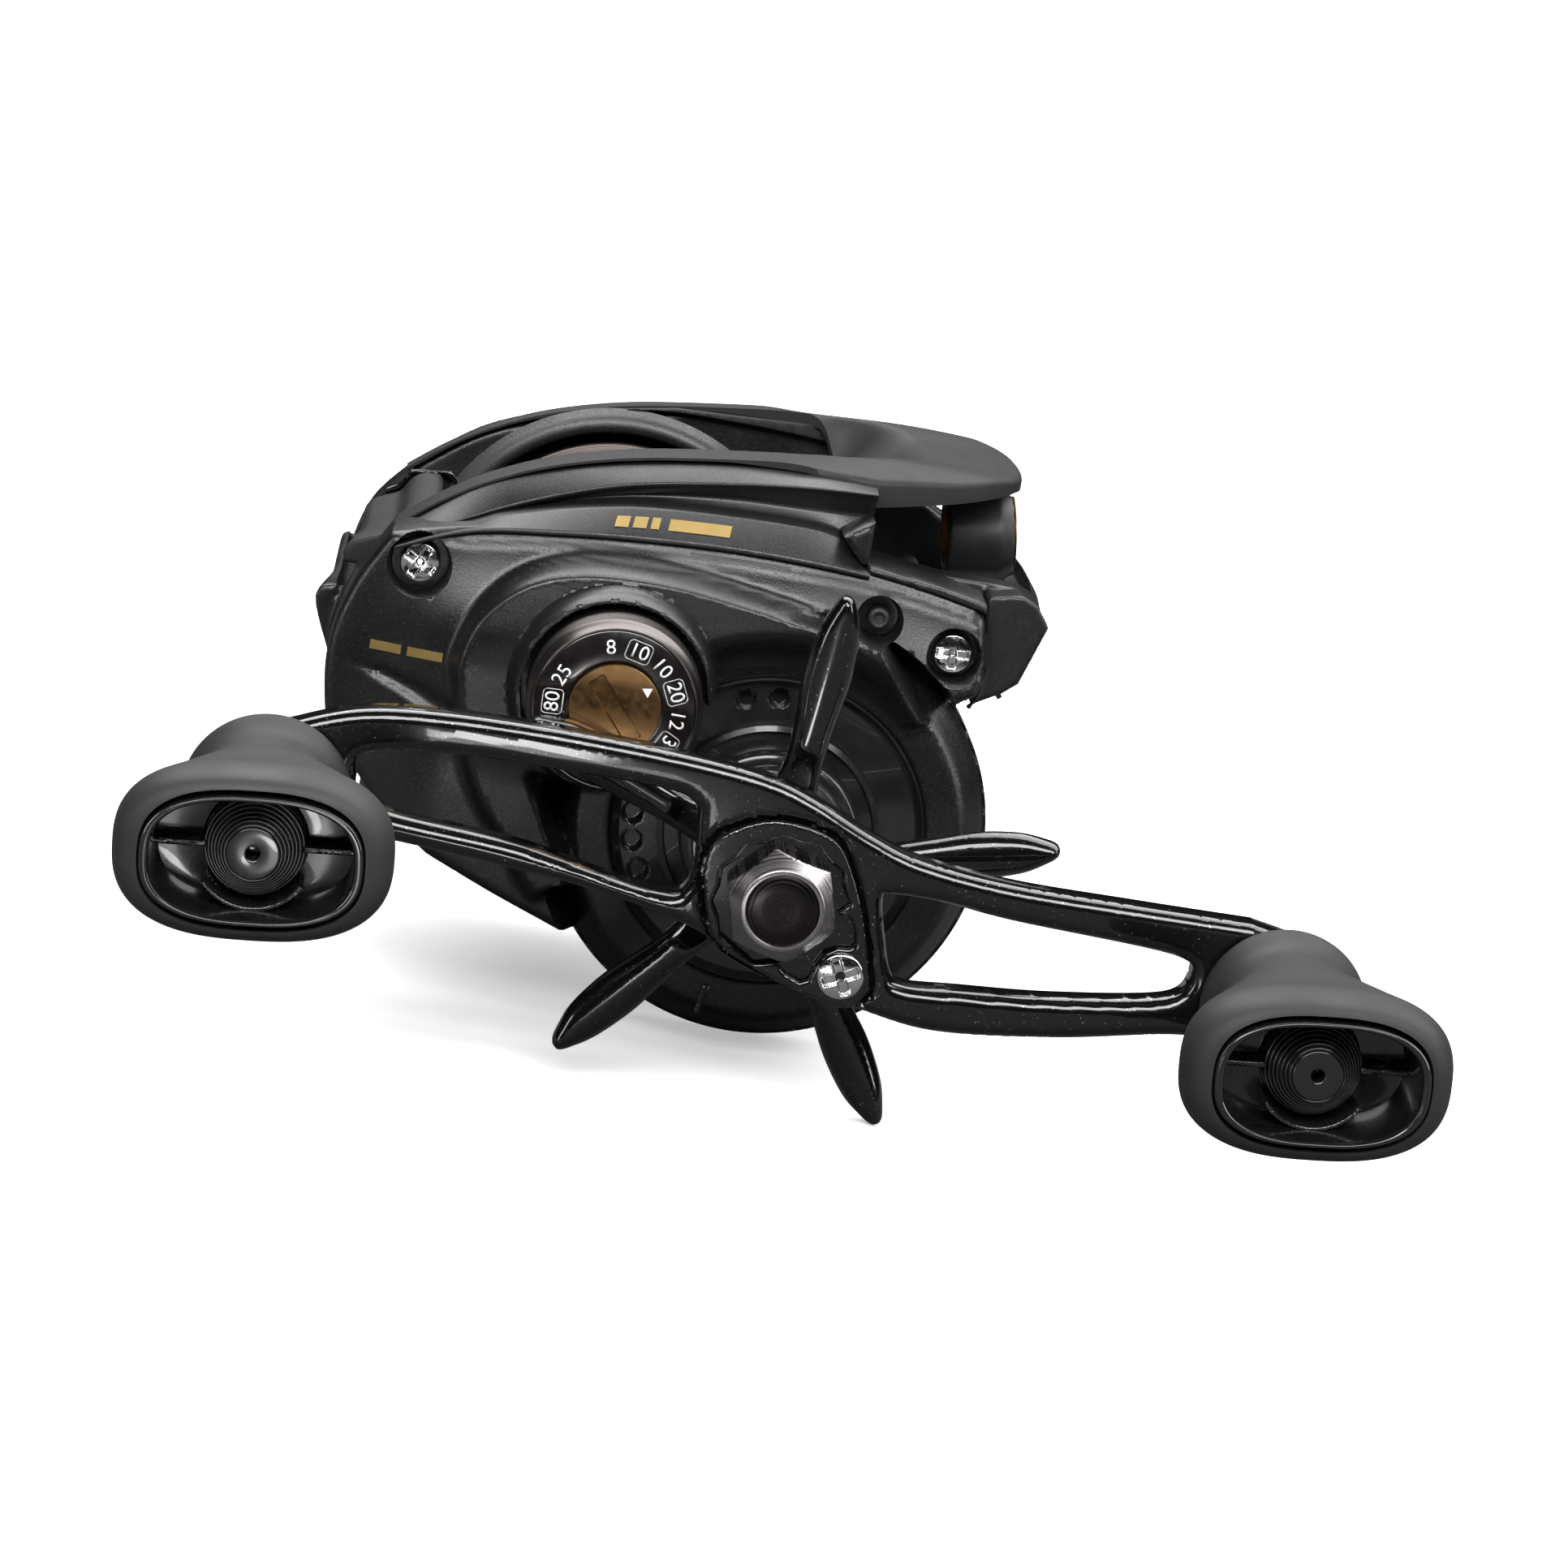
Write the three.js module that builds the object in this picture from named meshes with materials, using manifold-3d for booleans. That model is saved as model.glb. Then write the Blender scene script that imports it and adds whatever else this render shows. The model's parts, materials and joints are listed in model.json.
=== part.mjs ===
// A low-profile baitcasting reel, right-hand retrieve, as an assembly of separate solids.
// Millimetres, +Z up. The origin is the middle of the reel foot's flat underside.
// +X points forwards, the way the line leaves; -Y is the handle side and +Y the palm side.
import * as THREE from "three";
import { mergeVertices } from "three/addons/utils/BufferGeometryUtils.js";
import Module from "manifold-3d";

const wasm = await Module();
wasm.setup();

// ---- Driving dimensions ----
const ORIGIN = { x: 0, z: 0 }; // axis of a piece drawn about itself and then placed
const SPOOL = { x: 0, z: 20.5 }; // spool axis, along Y
const DRIVE = { x: 17, z: 8 }; // handle and drive gear axis, along Y
const WORM = { x: 35.4, z: 26 }; // level-wind worm axis, along Y
const GUIDE_ROD = { x: 30.4, z: 28.9 }; // rod that keeps the line guide upright
const EYE = { x: 35.4, z: 35.3 }; // middle of the line guide's eye
const EYE_TILT = 8; // degrees that the eye looks up towards the front
const REAR_SCREW = { x: -19.8, z: 28.8 }; // handle-side cover screws
const FRONT_SCREW = { x: 32, z: 27.6 };
const OIL_SCREW = { x: 24.3, z: 30.1 };
const PLATE_IN = 13.5; // inner faces of the frame's side plates, either side of Y = 0
const PLATE_OUT = 17; // their outer faces
const SPOOL_R = 16.8;
const SPOOL_ROOM_R = 17.5; // hollow that the frame leaves round the spool
const SHAFT_R = 1.5; // spool shaft
const BRAKE_DRUM_R = 8.5; // inside the drum that the brake blocks rub on
const DRIVE_SHAFT_R = 3;
const DRIVE_BORE_R = 3.3; // bores of the wheels that turn with the drive shaft
const HOUSING_R = 21.5; // round gear housing
const HOUSING_FACE = -25.6;
const HUB_R = 7.4; // sleeve of the housing that holds the anti-reverse bearing
const HUB_FACE = -31;
const PLATEAU_FACE = -30; // raised rear half of the handle-side cover
const TENSION_R = 8.3; // spool tension knob
const TENSION_FACE = -38;
const HANDLE_FACE = -52; // front face of the handle's middle
const HANDLE_THICK = 3.6;
const HANDLE_REACH = 47.5; // drive axis to knob axis: a 95 mm handle
const HANDLE_SWEEP = 1.6; // how much closer to the body the handle's ends sit
const HANDLE_ANGLE = -3.8; // rest angles, in degrees from +X towards +Z
const STAR_ANGLE = 84;
const STAR_R = 26.8;
const KNOB_BASE = -50.9; // a handle knob's two ends
const KNOB_END = -75;
const FOOT_THICK = 2;
const FOOT_SCREW_X = [-13, 13];
const PALM_FACE = 22.5;
const CARRIAGE_R = 3.6; // line guide's body round the worm
const GAP = 0.3; // clearance between neighbouring pieces

const AXES_APART = Math.hypot(DRIVE.x - SPOOL.x, DRIVE.z - SPOOL.z);
const DRIVE_TEETH = 60;
const PINION_TEETH = 8;
const DRIVE_MODULE = (2 * AXES_APART) / (DRIVE_TEETH + PINION_TEETH);
const TRAIN_TEETH = { drive: 24, idler: 20, worm: 9 }; // handle to level-wind worm
const TRAIN_MODULE = 0.75;

// ---- Materials ----
const look = (color, roughness, metalness) =>
  new THREE.MeshStandardMaterial({ color, roughness, metalness });
const BLACK_SATIN = () => look(0x1c1c1e, 0.45, 0.4);
const BLACK_GLOSS = () => look(0x0d0d0f, 0.18, 0.7);
const BLACK_RUBBER = () => look(0x2a2a2b, 0.75, 0);
const BLACK_PLASTIC = () => look(0x1a1a1b, 0.5, 0);
const GUNMETAL = () => look(0x4a4648, 0.3, 0.9);
const STEEL = () => look(0xb8b8b8, 0.2, 1);
const BRASS = () => look(0xa8874a, 0.35, 1);
const BRONZE = () => look(0x7a5a34, 0.35, 0.9);

// ---- Solids from three.js geometry ----
// The closed solid inside a geometry, turned face-out if its profile ran the other way.
function solid(geometry) {
  const flat = geometry.index ? geometry.toNonIndexed() : geometry;
  const bare = new THREE.BufferGeometry();
  bare.setAttribute("position", flat.getAttribute("position"));
  const merged = mergeVertices(bare, 1e-4);
  const vertProperties = merged.attributes.position.array;
  const corners = [];
  for (let i = 0; i < merged.index.count; i += 3) {
    const [a, b, c] = merged.index.array.slice(i, i + 3);
    if (a !== b && b !== c && c !== a) corners.push(a, b, c);
  }
  const make = (list) =>
    new wasm.Manifold(
      new wasm.Mesh({ numProp: 3, vertProperties, triVerts: Uint32Array.from(list) }),
    );
  const made = make(corners);
  return made.volume() > 0 ? made : make(corners.reverse());
}

const join = (first, ...rest) => rest.reduce((sum, s) => sum.add(s), first);
const cut = (from, ...tools) => tools.reduce((left, s) => left.subtract(s), from);

// Moves every corner of a geometry to where `to(x, y, z)` says.
function reshape(geometry, to) {
  const p = geometry.getAttribute("position");
  for (let i = 0; i < p.count; i++) p.setXYZ(i, ...to(p.getX(i), p.getY(i), p.getZ(i)));
  return geometry;
}

// A shape drawn in X and Z, extruded along Y between two planes.
function slabGeometry(shape, yFrom, yTo, bevel = 0, curveSegments = 1) {
  const geometry = new THREE.ExtrudeGeometry(shape, {
    depth: Math.abs(yTo - yFrom) - 2 * bevel,
    curveSegments,
    bevelEnabled: bevel > 0,
    bevelSegments: 1,
    bevelSize: bevel,
    bevelOffset: -bevel,
    bevelThickness: bevel,
  });
  return geometry.translate(0, 0, bevel - Math.max(yFrom, yTo)).rotateX(Math.PI / 2);
}
const slab = (...args) => solid(slabGeometry(...args));

// A profile of [radius, y] pairs turned round a Y axis.
function turned({ x, z }, profile, segments = 20) {
  const points = profile.map(([r, y]) => new THREE.Vector2(r, y));
  return solid(new THREE.LatheGeometry(points, segments).translate(x, 0, z));
}

// A cylinder and a tube along Y.
const rod = (at, r, y0, y1, segments = 12) =>
  turned(at, [[0, y0], [r, y0], [r, y1], [0, y1]], segments);
const tube = (at, rIn, rOut, y0, y1, segments = 16) =>
  turned(at, [[rIn, y0], [rOut, y0], [rOut, y1], [rIn, y1], [rIn, y0]], segments);

const block = (x0, x1, y0, y1, z0, z1) =>
  solid(
    new THREE.BoxGeometry(x1 - x0, y1 - y0, z1 - z0).translate(
      (x0 + x1) / 2,
      (y0 + y1) / 2,
      (z0 + z1) / 2,
    ),
  );

// An upright cylinder.
const post = (x, y, r, z0, z1, segments = 14) =>
  solid(
    new THREE.CylinderGeometry(r, r, z1 - z0, segments)
      .rotateX(Math.PI / 2)
      .translate(x, y, (z0 + z1) / 2),
  );

// A shape drawn in X and Y, extruded upwards.
const upright = (plan, z0, z1) =>
  solid(
    new THREE.ExtrudeGeometry(plan, {
      depth: z1 - z0,
      curveSegments: 3,
      bevelEnabled: false,
    }).translate(0, 0, z0),
  );

// A closed outline: points join up straight, and a list of points is a smooth stretch.
function outline(...stretches) {
  const shape = new THREE.Shape();
  shape.moveTo(...stretches[0]);
  for (const stretch of stretches.slice(1)) {
    if (Array.isArray(stretch[0])) {
      shape.splineThru(stretch.map(([x, z]) => new THREE.Vector2(x, z)));
    } else {
      shape.lineTo(...stretch);
    }
  }
  shape.closePath();
  return shape;
}

const disc = ({ x, z }, r) => new THREE.Shape().absarc(x, z, r, 0, 2 * Math.PI);

// ---- Gears ----
const heading = (from, to) => Math.atan2(to.z - from.z, to.x - from.x);

// A spur gear with straight, thin teeth that leave backlash. `phase` is where one tooth points.
function gear(at, teeth, module, phase, y0, y1, boreR) {
  const pitchR = (teeth * module) / 2;
  const pitch = (2 * Math.PI) / teeth;
  const corners = [
    [-0.21, pitchR - 1.2 * module],
    [-0.09, pitchR + 0.8 * module],
    [0.09, pitchR + 0.8 * module],
    [0.21, pitchR - 1.2 * module],
  ];
  const shape = new THREE.Shape();
  for (let tooth = 0; tooth < teeth; tooth++) {
    for (const [across, r] of corners) {
      const angle = phase + (tooth + across) * pitch;
      shape.lineTo(at.x + r * Math.cos(angle), at.z + r * Math.sin(angle));
    }
  }
  shape.curves.shift(); // the first line, which would start at the origin
  if (boreR) shape.holes.push(new THREE.Path().absarc(at.x, at.z, boreR, 0, 2 * Math.PI, true));
  return slab(shape, y0, y1, 0, 5);
}

const DRIVE_PHASE = heading(DRIVE, SPOOL);
const PINION_PHASE = heading(SPOOL, DRIVE) + Math.PI / PINION_TEETH;

// The idler sits where it meshes with both the gear on the drive shaft and the worm's gear.
function idlerCentre() {
  const { drive, idler, worm } = TRAIN_TEETH;
  const toDrive = ((drive + idler) * TRAIN_MODULE) / 2;
  const toWorm = ((idler + worm) * TRAIN_MODULE) / 2;
  const apart = Math.hypot(WORM.x - DRIVE.x, WORM.z - DRIVE.z);
  const along = (toDrive ** 2 - toWorm ** 2 + apart ** 2) / (2 * apart);
  const aside = Math.sqrt(toDrive ** 2 - along ** 2);
  const angle = heading(DRIVE, WORM) + Math.atan2(aside, along);
  return { x: DRIVE.x + toDrive * Math.cos(angle), z: DRIVE.z + toDrive * Math.sin(angle) };
}
const IDLER = idlerCentre();
const TRAIN_PHASE = heading(DRIVE, IDLER);
const IDLER_PHASE = heading(IDLER, DRIVE) + Math.PI / TRAIN_TEETH.idler;
const toothPastLine = heading(IDLER, WORM) - IDLER_PHASE; // from an idler tooth to the line of centres
const WORM_PHASE =
  heading(WORM, IDLER) +
  Math.PI / TRAIN_TEETH.worm +
  toothPastLine * (TRAIN_TEETH.idler / TRAIN_TEETH.worm);

// The anti-reverse pawl's pivot, just outside the level-wind drive gear.
const PAWL = { x: DRIVE.x - 9, z: DRIVE.z - 6.2 };

// ---- Outlines shared by several pieces ----
const REAR_EDGE = [[-25.9, 10.8], [-27.2, 16], [-27.2, 21], [-25.6, 26.4], [-22.3, 30.5]];
const FRAME_TOP = [[-15.6, 35.4], [-8.7, 38.2], [-1.1, 40], [8.4, 41.4], [16.2, 41.7], [22.3, 41.2]];
const HOOD_UNDERSIDE = [
  [16.2, 42],
  [8.4, 41.7],
  [-1.1, 40.3],
  [-8.7, 38.5],
  [-15.6, 35.8],
  [-21.6, 31.5],
];
const HOOD_TOP = [
  [-18.9, 34.1],
  [-14.6, 36.7],
  [-8.8, 39.1],
  [-1.2, 41],
  [8.2, 42.4],
  [18, 43.2],
  [26, 43.6],
  [33, 43.4],
  [39.4, 42.6],
];
const RIDGE = [[-15.5, 33], [-6.4, 34.2], [1.3, 34.7], [9.1, 35], [17, 34.8], [25, 34.2], [33.6, 32.6]];
const NOSE_FRONT = [[40.7, 31.9], [41.6, 30.3], [39.8, 24.4], [37.8, 22.8], [34.4, 21.3]];

// ---- Frame ----
const handlePlate = () =>
  outline(
    [-20.2, 4.5],
    [-22.7, 7.5],
    REAR_EDGE,
    FRAME_TOP,
    [22.9, 39.3],
    [19.5, 37.5],
    [21.8, 35],
    [30, 33.8],
    [38.2, 33.6],
    ...NOSE_FRONT,
    [20, -12],
    [0, -6],
    [-12.8, -1],
  );

const palmPlate = () =>
  outline(
    [-20.2, 4.5],
    [-22.7, 7.5],
    REAR_EDGE,
    FRAME_TOP,
    [22.9, 39.3],
    [[28, 37], [33.5, 34]],
    [38.2, 33.6],
    ...NOSE_FRONT,
    [[30, 8], [22, 1], [10, -2], [-8, -2]],
  );

// The shoulder above the handle-side cover: a band along the cover's top edge and a rib over it.
function shoulder() {
  const band = outline(
    [-19.8, 32.5],
    RIDGE.map(([x, z]) => [x, z + GAP]),
    [33, 33.6],
    [21.8, 35],
    [19.5, 37.5],
    [[3.3, 37.3], [-4.5, 36.3], [-12.1, 34.6], [-18, 33.2]],
  );
  const rib = outline(
    [-18.4, 33.4],
    FRAME_TOP,
    [22.9, 39.3],
    [[8.2, 38.9], [-1.2, 37.9], [-8.8, 36.1], [-15.6, 33.9]],
  );
  return join(slab(band, -24.6, -PLATE_OUT + 1), slab(rib, -19.6, -PLATE_OUT + 1));
}

// Two short posts that the clutch yoke slides on, either side of the pinion.
const YOKE_POSTS = [1, -1].map((side) => ({
  x: SPOOL.x + (side * 9 * (SPOOL.z - DRIVE.z)) / AXES_APART,
  z: SPOOL.z + (side * 9 * (DRIVE.x - SPOOL.x)) / AXES_APART,
}));

function frame() {
  const rearBar = outline(
    [-21.3, 12.4],
    [-25.6, 11.4],
    [[-27.4, 16.2], [-29.2, 19.7], [-30.05, 22.4], [-29.3, 24.7]],
    [-27.6, 26.2],
    [-27.6, 21.4],
    [-21.3, 21.4],
  );
  const frontBar = outline([38.2, 33.6], ...NOSE_FRONT, [29.5, 21.3], [31, 27]);
  const belly = cut(
    rod(SPOOL, SPOOL_ROOM_R + 2, -PLATE_IN - 1, PLATE_IN + 1, 28),
    block(-30, 30, -20, 20, 12, 50),
    block(-30, 30, -20, 20, -10, FOOT_THICK + 0.15),
  );
  const footBosses = FOOT_SCREW_X.map((x) =>
    block(x - 2.6, x + 2.6, -4, 4, FOOT_THICK + 0.15, 9),
  );
  const bars = cut(
    join(slab(rearBar, -PLATE_IN - 1, PLATE_IN + 1), slab(frontBar, -PLATE_IN - 1, PLATE_IN + 1)),
    rod(WORM, CARRIAGE_R + GAP, -PLATE_IN, PLATE_IN, 18),
    block(27, 38.6, -PLATE_IN, PLATE_IN, WORM.z, 40),
    block(27, 40, -PLATE_IN, PLATE_IN, 30.6, 40),
    block(27, WORM.x, -PLATE_IN, PLATE_IN, 23.6, 40),
  );
  return cut(
    join(
      slab(handlePlate(), -PLATE_OUT, -PLATE_IN),
      slab(disc(DRIVE, HOUSING_R - 0.2), -PLATE_OUT, -PLATE_IN, 0, 14),
      slab(palmPlate(), PLATE_IN, PLATE_OUT),
      shoulder(),
      noseCap(),
      rod(FRONT_SCREW, 2.2, -21, -19.4, 16),
      block(FRONT_SCREW.x, 36, -20.8, -19.4, 26.2, 29),
      rod(IDLER, 1.5, -19.2, -PLATE_OUT + 1, 14),
      rod(PAWL, 0.9, -20.2, -PLATE_OUT + 1, 12),
      bars,
      cut(join(belly, ...footBosses), rod(SPOOL, SPOOL_ROOM_R, -PLATE_IN, PLATE_OUT + 1, 28)),
      ...YOKE_POSTS.map((at) => rod(at, 1, -28, -PLATE_OUT + 1, 12)),
    ),
    rod(SPOOL, SPOOL_ROOM_R, -PLATE_IN, PLATE_OUT + 1, 28), // the spool comes out on the palm side
    rod(SPOOL, 5.2, -PLATE_OUT - 1, -PLATE_IN + 1, 24),
    rod(DRIVE, 4.8, -PLATE_OUT - 1, -PLATE_IN - 1, 20),
    rod(WORM, 2.2, -PLATE_OUT - 1, PLATE_OUT - 1, 16),
    rod(GUIDE_ROD, 1.1, -PLATE_OUT + 1.2, PLATE_OUT - 1.2, 12),
    rod(REAR_SCREW, 1.1, -PLATE_OUT - 1, -PLATE_IN - 0.8, 12),
    rod(FRONT_SCREW, 1.1, -22, -19.4, 12),
    ...FOOT_SCREW_X.map((x) => post(x, 0, 1.15, 0, 6.4)),
    block(-23.2, -21.2, -PLATE_OUT - 1, -PLATE_IN + 1, 22.6, 28.1), // slot for the thumb bar's tongue
  );
}

// The nose's handle-side corner, thick enough to house the worm's gear.
function noseCap() {
  const coverEnd = [[35.5, 25.3], [35.2, 28.5], [34.7, 31.5]];
  const shape = outline([34.9, 33], [38.2, 33.6], ...NOSE_FRONT, [35, 21.6], coverEnd);
  const gearRoom = rod(WORM, 4.3, -19.4, -PLATE_OUT - 0.01, 20);
  return cut(slab(shape, -20.8, -PLATE_OUT + 1), gearRoom);
}

// The foot's palm-side edge from rear to front; the handle side mirrors it.
const FOOT_EDGE = [
  [-22, 3.6],
  [-19, 5.6],
  [-12, 6.4],
  [0, 6.6],
  [14, 6.4],
  [27, 5.6],
  [33, 4.2],
  [35.4, 1.8],
];
function reelFoot() {
  const mirrored = FOOT_EDGE.map(([x, y]) => [x, -y]).reverse();
  const shape = outline([-22.6, 1.6], FOOT_EDGE, mirrored[0], mirrored.slice(1), [-22.6, -1.6]);
  const rounding = 0.6; // of the top edge
  const plate = solid(
    new THREE.ExtrudeGeometry(shape, {
      depth: FOOT_THICK - rounding,
      curveSegments: 2,
      bevelSegments: 1,
      bevelSize: rounding,
      bevelOffset: -rounding,
      bevelThickness: rounding,
    }),
  );
  const holes = FOOT_SCREW_X.flatMap((x) => [post(x, 0, 1.2, -1, 4), post(x, 0, 2.3, -1, 1.2)]);
  return cut(plate, block(-40, 40, -20, 20, -5, 0), ...holes);
}

// A cross-slotted screw along -Y: its head's face at `face`, its shank's end at `end`.
function coverScrew(at, face, end, headR = 1.95, shankR = 0.9) {
  const under = face + 1.1; // of the head
  const head = turned(
    at,
    [
      [0, face],
      [headR * 0.72, face],
      [headR, face + 0.45],
      [headR, under],
      [shankR, under],
      [shankR, end],
      [0, end],
    ],
    16,
  );
  const slot = (halfX, halfZ) =>
    block(at.x - halfX, at.x + halfX, face - 1, face + 0.5, at.z - halfZ, at.z + halfZ);
  const slotHalf = headR * 0.62;
  return cut(head, slot(slotHalf, 0.22), slot(0.22, slotHalf));
}

function footScrew(x) {
  const head = post(x, 0, 1.9, 0.2, 1.1);
  return cut(join(head, post(x, 0, 0.95, 0.9, 6.2)), block(x - 1.3, x + 1.3, -0.25, 0.25, -1, 0.6));
}

// ---- Handle-side cover ----
const coverOutline = () =>
  outline(
    [-20.2, 4.5],
    [-22.7, 7.5],
    [[-25.9, 10.8], [-27.2, 16], [-27.2, 21], [-25.6, 26.4], [-22.8, 31.4]],
    RIDGE,
    [[34.4, 31.5], [34.9, 28.5], [35.1, 25.3], [34.7, 21.6]],
    [20, -12],
    [0, -6],
    [-12.8, -1],
  );

function handleSideCover() {
  const plateau = outline(
    [-14.6, 14],
    [[-14.4, 22.5], [-11.5, 27], [-5.8, 30.6], [-1.4, 31.8], [4.8, 31.9], [18, 30.6], [24, 27.5]],
    [17, 8],
    [-3, -2],
  );
  // Stepped rings from the rim in to the bearing sleeve.
  const housing = turned(
    DRIVE,
    [
      [0, -17.3],
      [HOUSING_R, -17.3],
      [HOUSING_R, -21.3],
      [19.2, -24.9],
      [18.6, HOUSING_FACE],
      [15.2, HOUSING_FACE],
      [14.9, -25],
      [10.7, -25],
      [10.5, -26.6],
      [8.6, -27],
      [8.4, -29],
      [HUB_R, -29.4],
      [HUB_R, HUB_FACE],
      [0, HUB_FACE],
    ],
    28,
  );
  const raised = cut(slab(plateau, PLATEAU_FACE, -24, 0, 2), rod(DRIVE, 15.2, -31, -24, 28));
  const shell = join(
    slab(coverOutline(), -25, -17.3, 0, 2),
    raised,
    housing,
    rod(SPOOL, 5.6, -34.4, -28),
    tube(SPOOL, 8.7, 9.4, -32.6, -29, 24),
  );
  const vents = [83, 98, 180, 195].map((degrees) => {
    const angle = THREE.MathUtils.degToRad(degrees);
    const at = { x: DRIVE.x + 12.8 * Math.cos(angle), z: DRIVE.z + 12.8 * Math.sin(angle) };
    return rod(at, 1, -26, -24.75, 8);
  });
  return cut(
    shell,
    rod(DRIVE, 19.7, -24.2, -17, 26),
    rod(SPOOL, 8.6, -28.7, -17, 18),
    yokeBeam(5.8, -28.7, -17),
    ...YOKE_POSTS.map((at) => rod(at, 2.5, -28.7, -17, 16)),
    slab(outline([-23.6, 20.4], [-23.6, 28.3], [0, 28.5], [0, 12.5]), -19, -17), // clutch cam's arm
    block(-24, -21, -19, -17, 20.4, 28.3),
    rod(IDLER, 8.5, -19.8, -17, 20),
    rod(WORM, 4.5, -21.3, -17, 20),
    rod(FRONT_SCREW, 2.5, -21.3, -17, 16),
    block(FRONT_SCREW.x, 36, -21.1, -17, 25.9, 29.3),
    slab(outline([34.3, 34], [34.3, 20], [50, 20], [50, 34]), -21.3, -17), // seat for the frame's nose
    rod(DRIVE, 6.4, -32, -24, 20), // anti-reverse bearing
    rod(SPOOL, 3.6, -31.6, -28, 20), // spool shaft's outer bearing
    rod(SPOOL, 2.2, -36, -31, 16),
    rod(REAR_SCREW, 2.8, -26, -22.4, 14),
    rod(REAR_SCREW, 1.2, -23, -17, 12),
    rod(FRONT_SCREW, 2.5, -26, -22.4, 14),
    rod(FRONT_SCREW, 1.2, -23, -21, 12),
    rod(OIL_SCREW, 2, -26, -22.4, 16),
    rod(OIL_SCREW, 1.25, -23, -20.8, 12),
    ...vents,
  );
}

// ---- Palm-side cover, its latch and the brake drum fixed in it ----
const LATCH = { x: -17, z: 10 };
function palmSideCover() {
  const dome = turned(
    SPOOL,
    [[0, 18], [17.2, 18], [16.8, 20.4], [14, 21.8], [8, PALM_FACE - 0.1], [0, PALM_FACE]],
    24,
  );
  return cut(
    join(
      cut(join(slab(palmPlate(), PLATE_OUT + 0.15, 20.4), dome), rod(SPOOL, 14.5, 17, 19.2, 24)),
      tube(SPOOL, 4.2, 5.8, 12.8, 20, 16),
    ),
    rod(SPOOL, 4.2, 12, 17, 20),
    rod(LATCH, 1.2, 16, 24, 12),
    slab(disc(LATCH, 4.6), 20.1, 24, 0, 6),
  );
}

function latch() {
  const lever = outline(
    [-1.6, 1.5],
    [[0, 2.2], [1.8, 1.2], [2.2, 0]],
    [[1.6, -1.6], [0, -4.2], [-1.6, -1.8]],
  );
  return join(slab(lever, 20.3, 21.6, 0.3), rod(ORIGIN, 1, 17.5, 20.5, 12));
}

const brakeDrum = () =>
  turned(
    SPOOL,
    [
      [BRAKE_DRUM_R, 5.8],
      [9, 5.8],
      [9, 17.4],
      [13.5, 17.4],
      [13.5, 18.6],
      [BRAKE_DRUM_R, 18.6],
      [BRAKE_DRUM_R, 5.8],
    ],
    24,
  );

function brakeHub() {
  const arms = [0, 1, 2, 3].map((i) => {
    const bar = new THREE.BoxGeometry(4, 1.2, 1.2).translate(6, 8.8, 0).rotateY((-i * Math.PI) / 2);
    return solid(bar.translate(SPOOL.x, 0, SPOOL.z));
  });
  return join(tube(SPOOL, SHAFT_R + 0.15, 4.6, 7, 10.6, 20), ...arms);
}

// Slides on an arm along +X, and swings out against the drum.
const brakeBlock = () =>
  cut(block(6.2, 8.2, 7.6, 10, -1.2, 1.2), block(6, 8.4, 8.05, 9.55, -0.75, 0.75));

// ---- Hood over the line guide ----
function frontHood() {
  const side = outline(
    [-22.4, 31.3],
    HOOD_TOP,
    [39.4, 42],
    [[36, 41.6], [30, 40.9], [23.2, 39.6]],
    [22.7, 41.7],
    HOOD_UNDERSIDE,
  );
  const reach = PLATE_OUT + 0.3;
  const plan = outline(
    [-30, -reach],
    [23, -reach],
    [[31, -15.4], [35.6, -12], [38.3, -6.5], [39.3, 0], [38.3, 6.5], [35.6, 12], [31, 15.4], [23, reach]],
    [-30, reach],
  );
  const opening = outline(
    [-30, -13.2],
    [16, -13.2],
    [[21, -11.8], [24.4, -8], [25.4, 0], [24.4, 8], [21, 11.8], [16, 13.2]],
    [-30, 13.2],
  );
  return cut(slab(side, -20, 20).intersect(upright(plan, 0, 60)), upright(opening, 0, 60));
}

// ---- Spool ----
function spool() {
  return turned(
    SPOOL,
    [
      [SHAFT_R + 0.1, -8],
      [2.6, -8],
      [2.6, -3],
      [9.3, -3],
      [9.3, -11.2],
      [15.9, -12.2],
      [SPOOL_R, -12.2],
      [SPOOL_R, -11.4],
      [11.2, -9.8],
      [10.4, -9],
      [10.4, 9],
      [11.2, 9.8],
      [SPOOL_R, 11.4],
      [SPOOL_R, 12.2],
      [15.9, 12.2],
      [9.3, 11.2],
      [9.3, 3],
      [2.6, 3],
      [2.6, 6.8],
      [SHAFT_R + 0.1, 6.8],
      [SHAFT_R + 0.1, -8],
    ],
    26,
  );
}

// Carries the cross pin that the pinion's slotted end drives.
function spoolShaft() {
  const pin = new THREE.CylinderGeometry(0.45, 0.45, 4.4, 8).rotateZ(Math.PI / 2);
  return join(rod(SPOOL, SHAFT_R, -32.5, 16.2), solid(pin.translate(SPOOL.x, -14.8, SPOOL.z)));
}

function pinion() {
  const boss = turned(
    SPOOL,
    [
      [0, -14.1],
      [2.38, -14.1],
      [2.38, -19.2],
      [2, -19.2],
      [2, -25.6],
      [3.1, -25.6],
      [3.1, -26.4],
      [0, -26.4],
    ],
    20,
  );
  const teeth = gear(SPOOL, PINION_TEETH, DRIVE_MODULE, PINION_PHASE, -24.4, -19.2);
  const slot = block(SPOOL.x - 3, SPOOL.x + 3, -15.7, -13, SPOOL.z - 0.6, SPOOL.z + 0.6);
  return cut(join(boss, teeth), rod(SPOOL, SHAFT_R + 0.2, -28, -13), slot);
}

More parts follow.
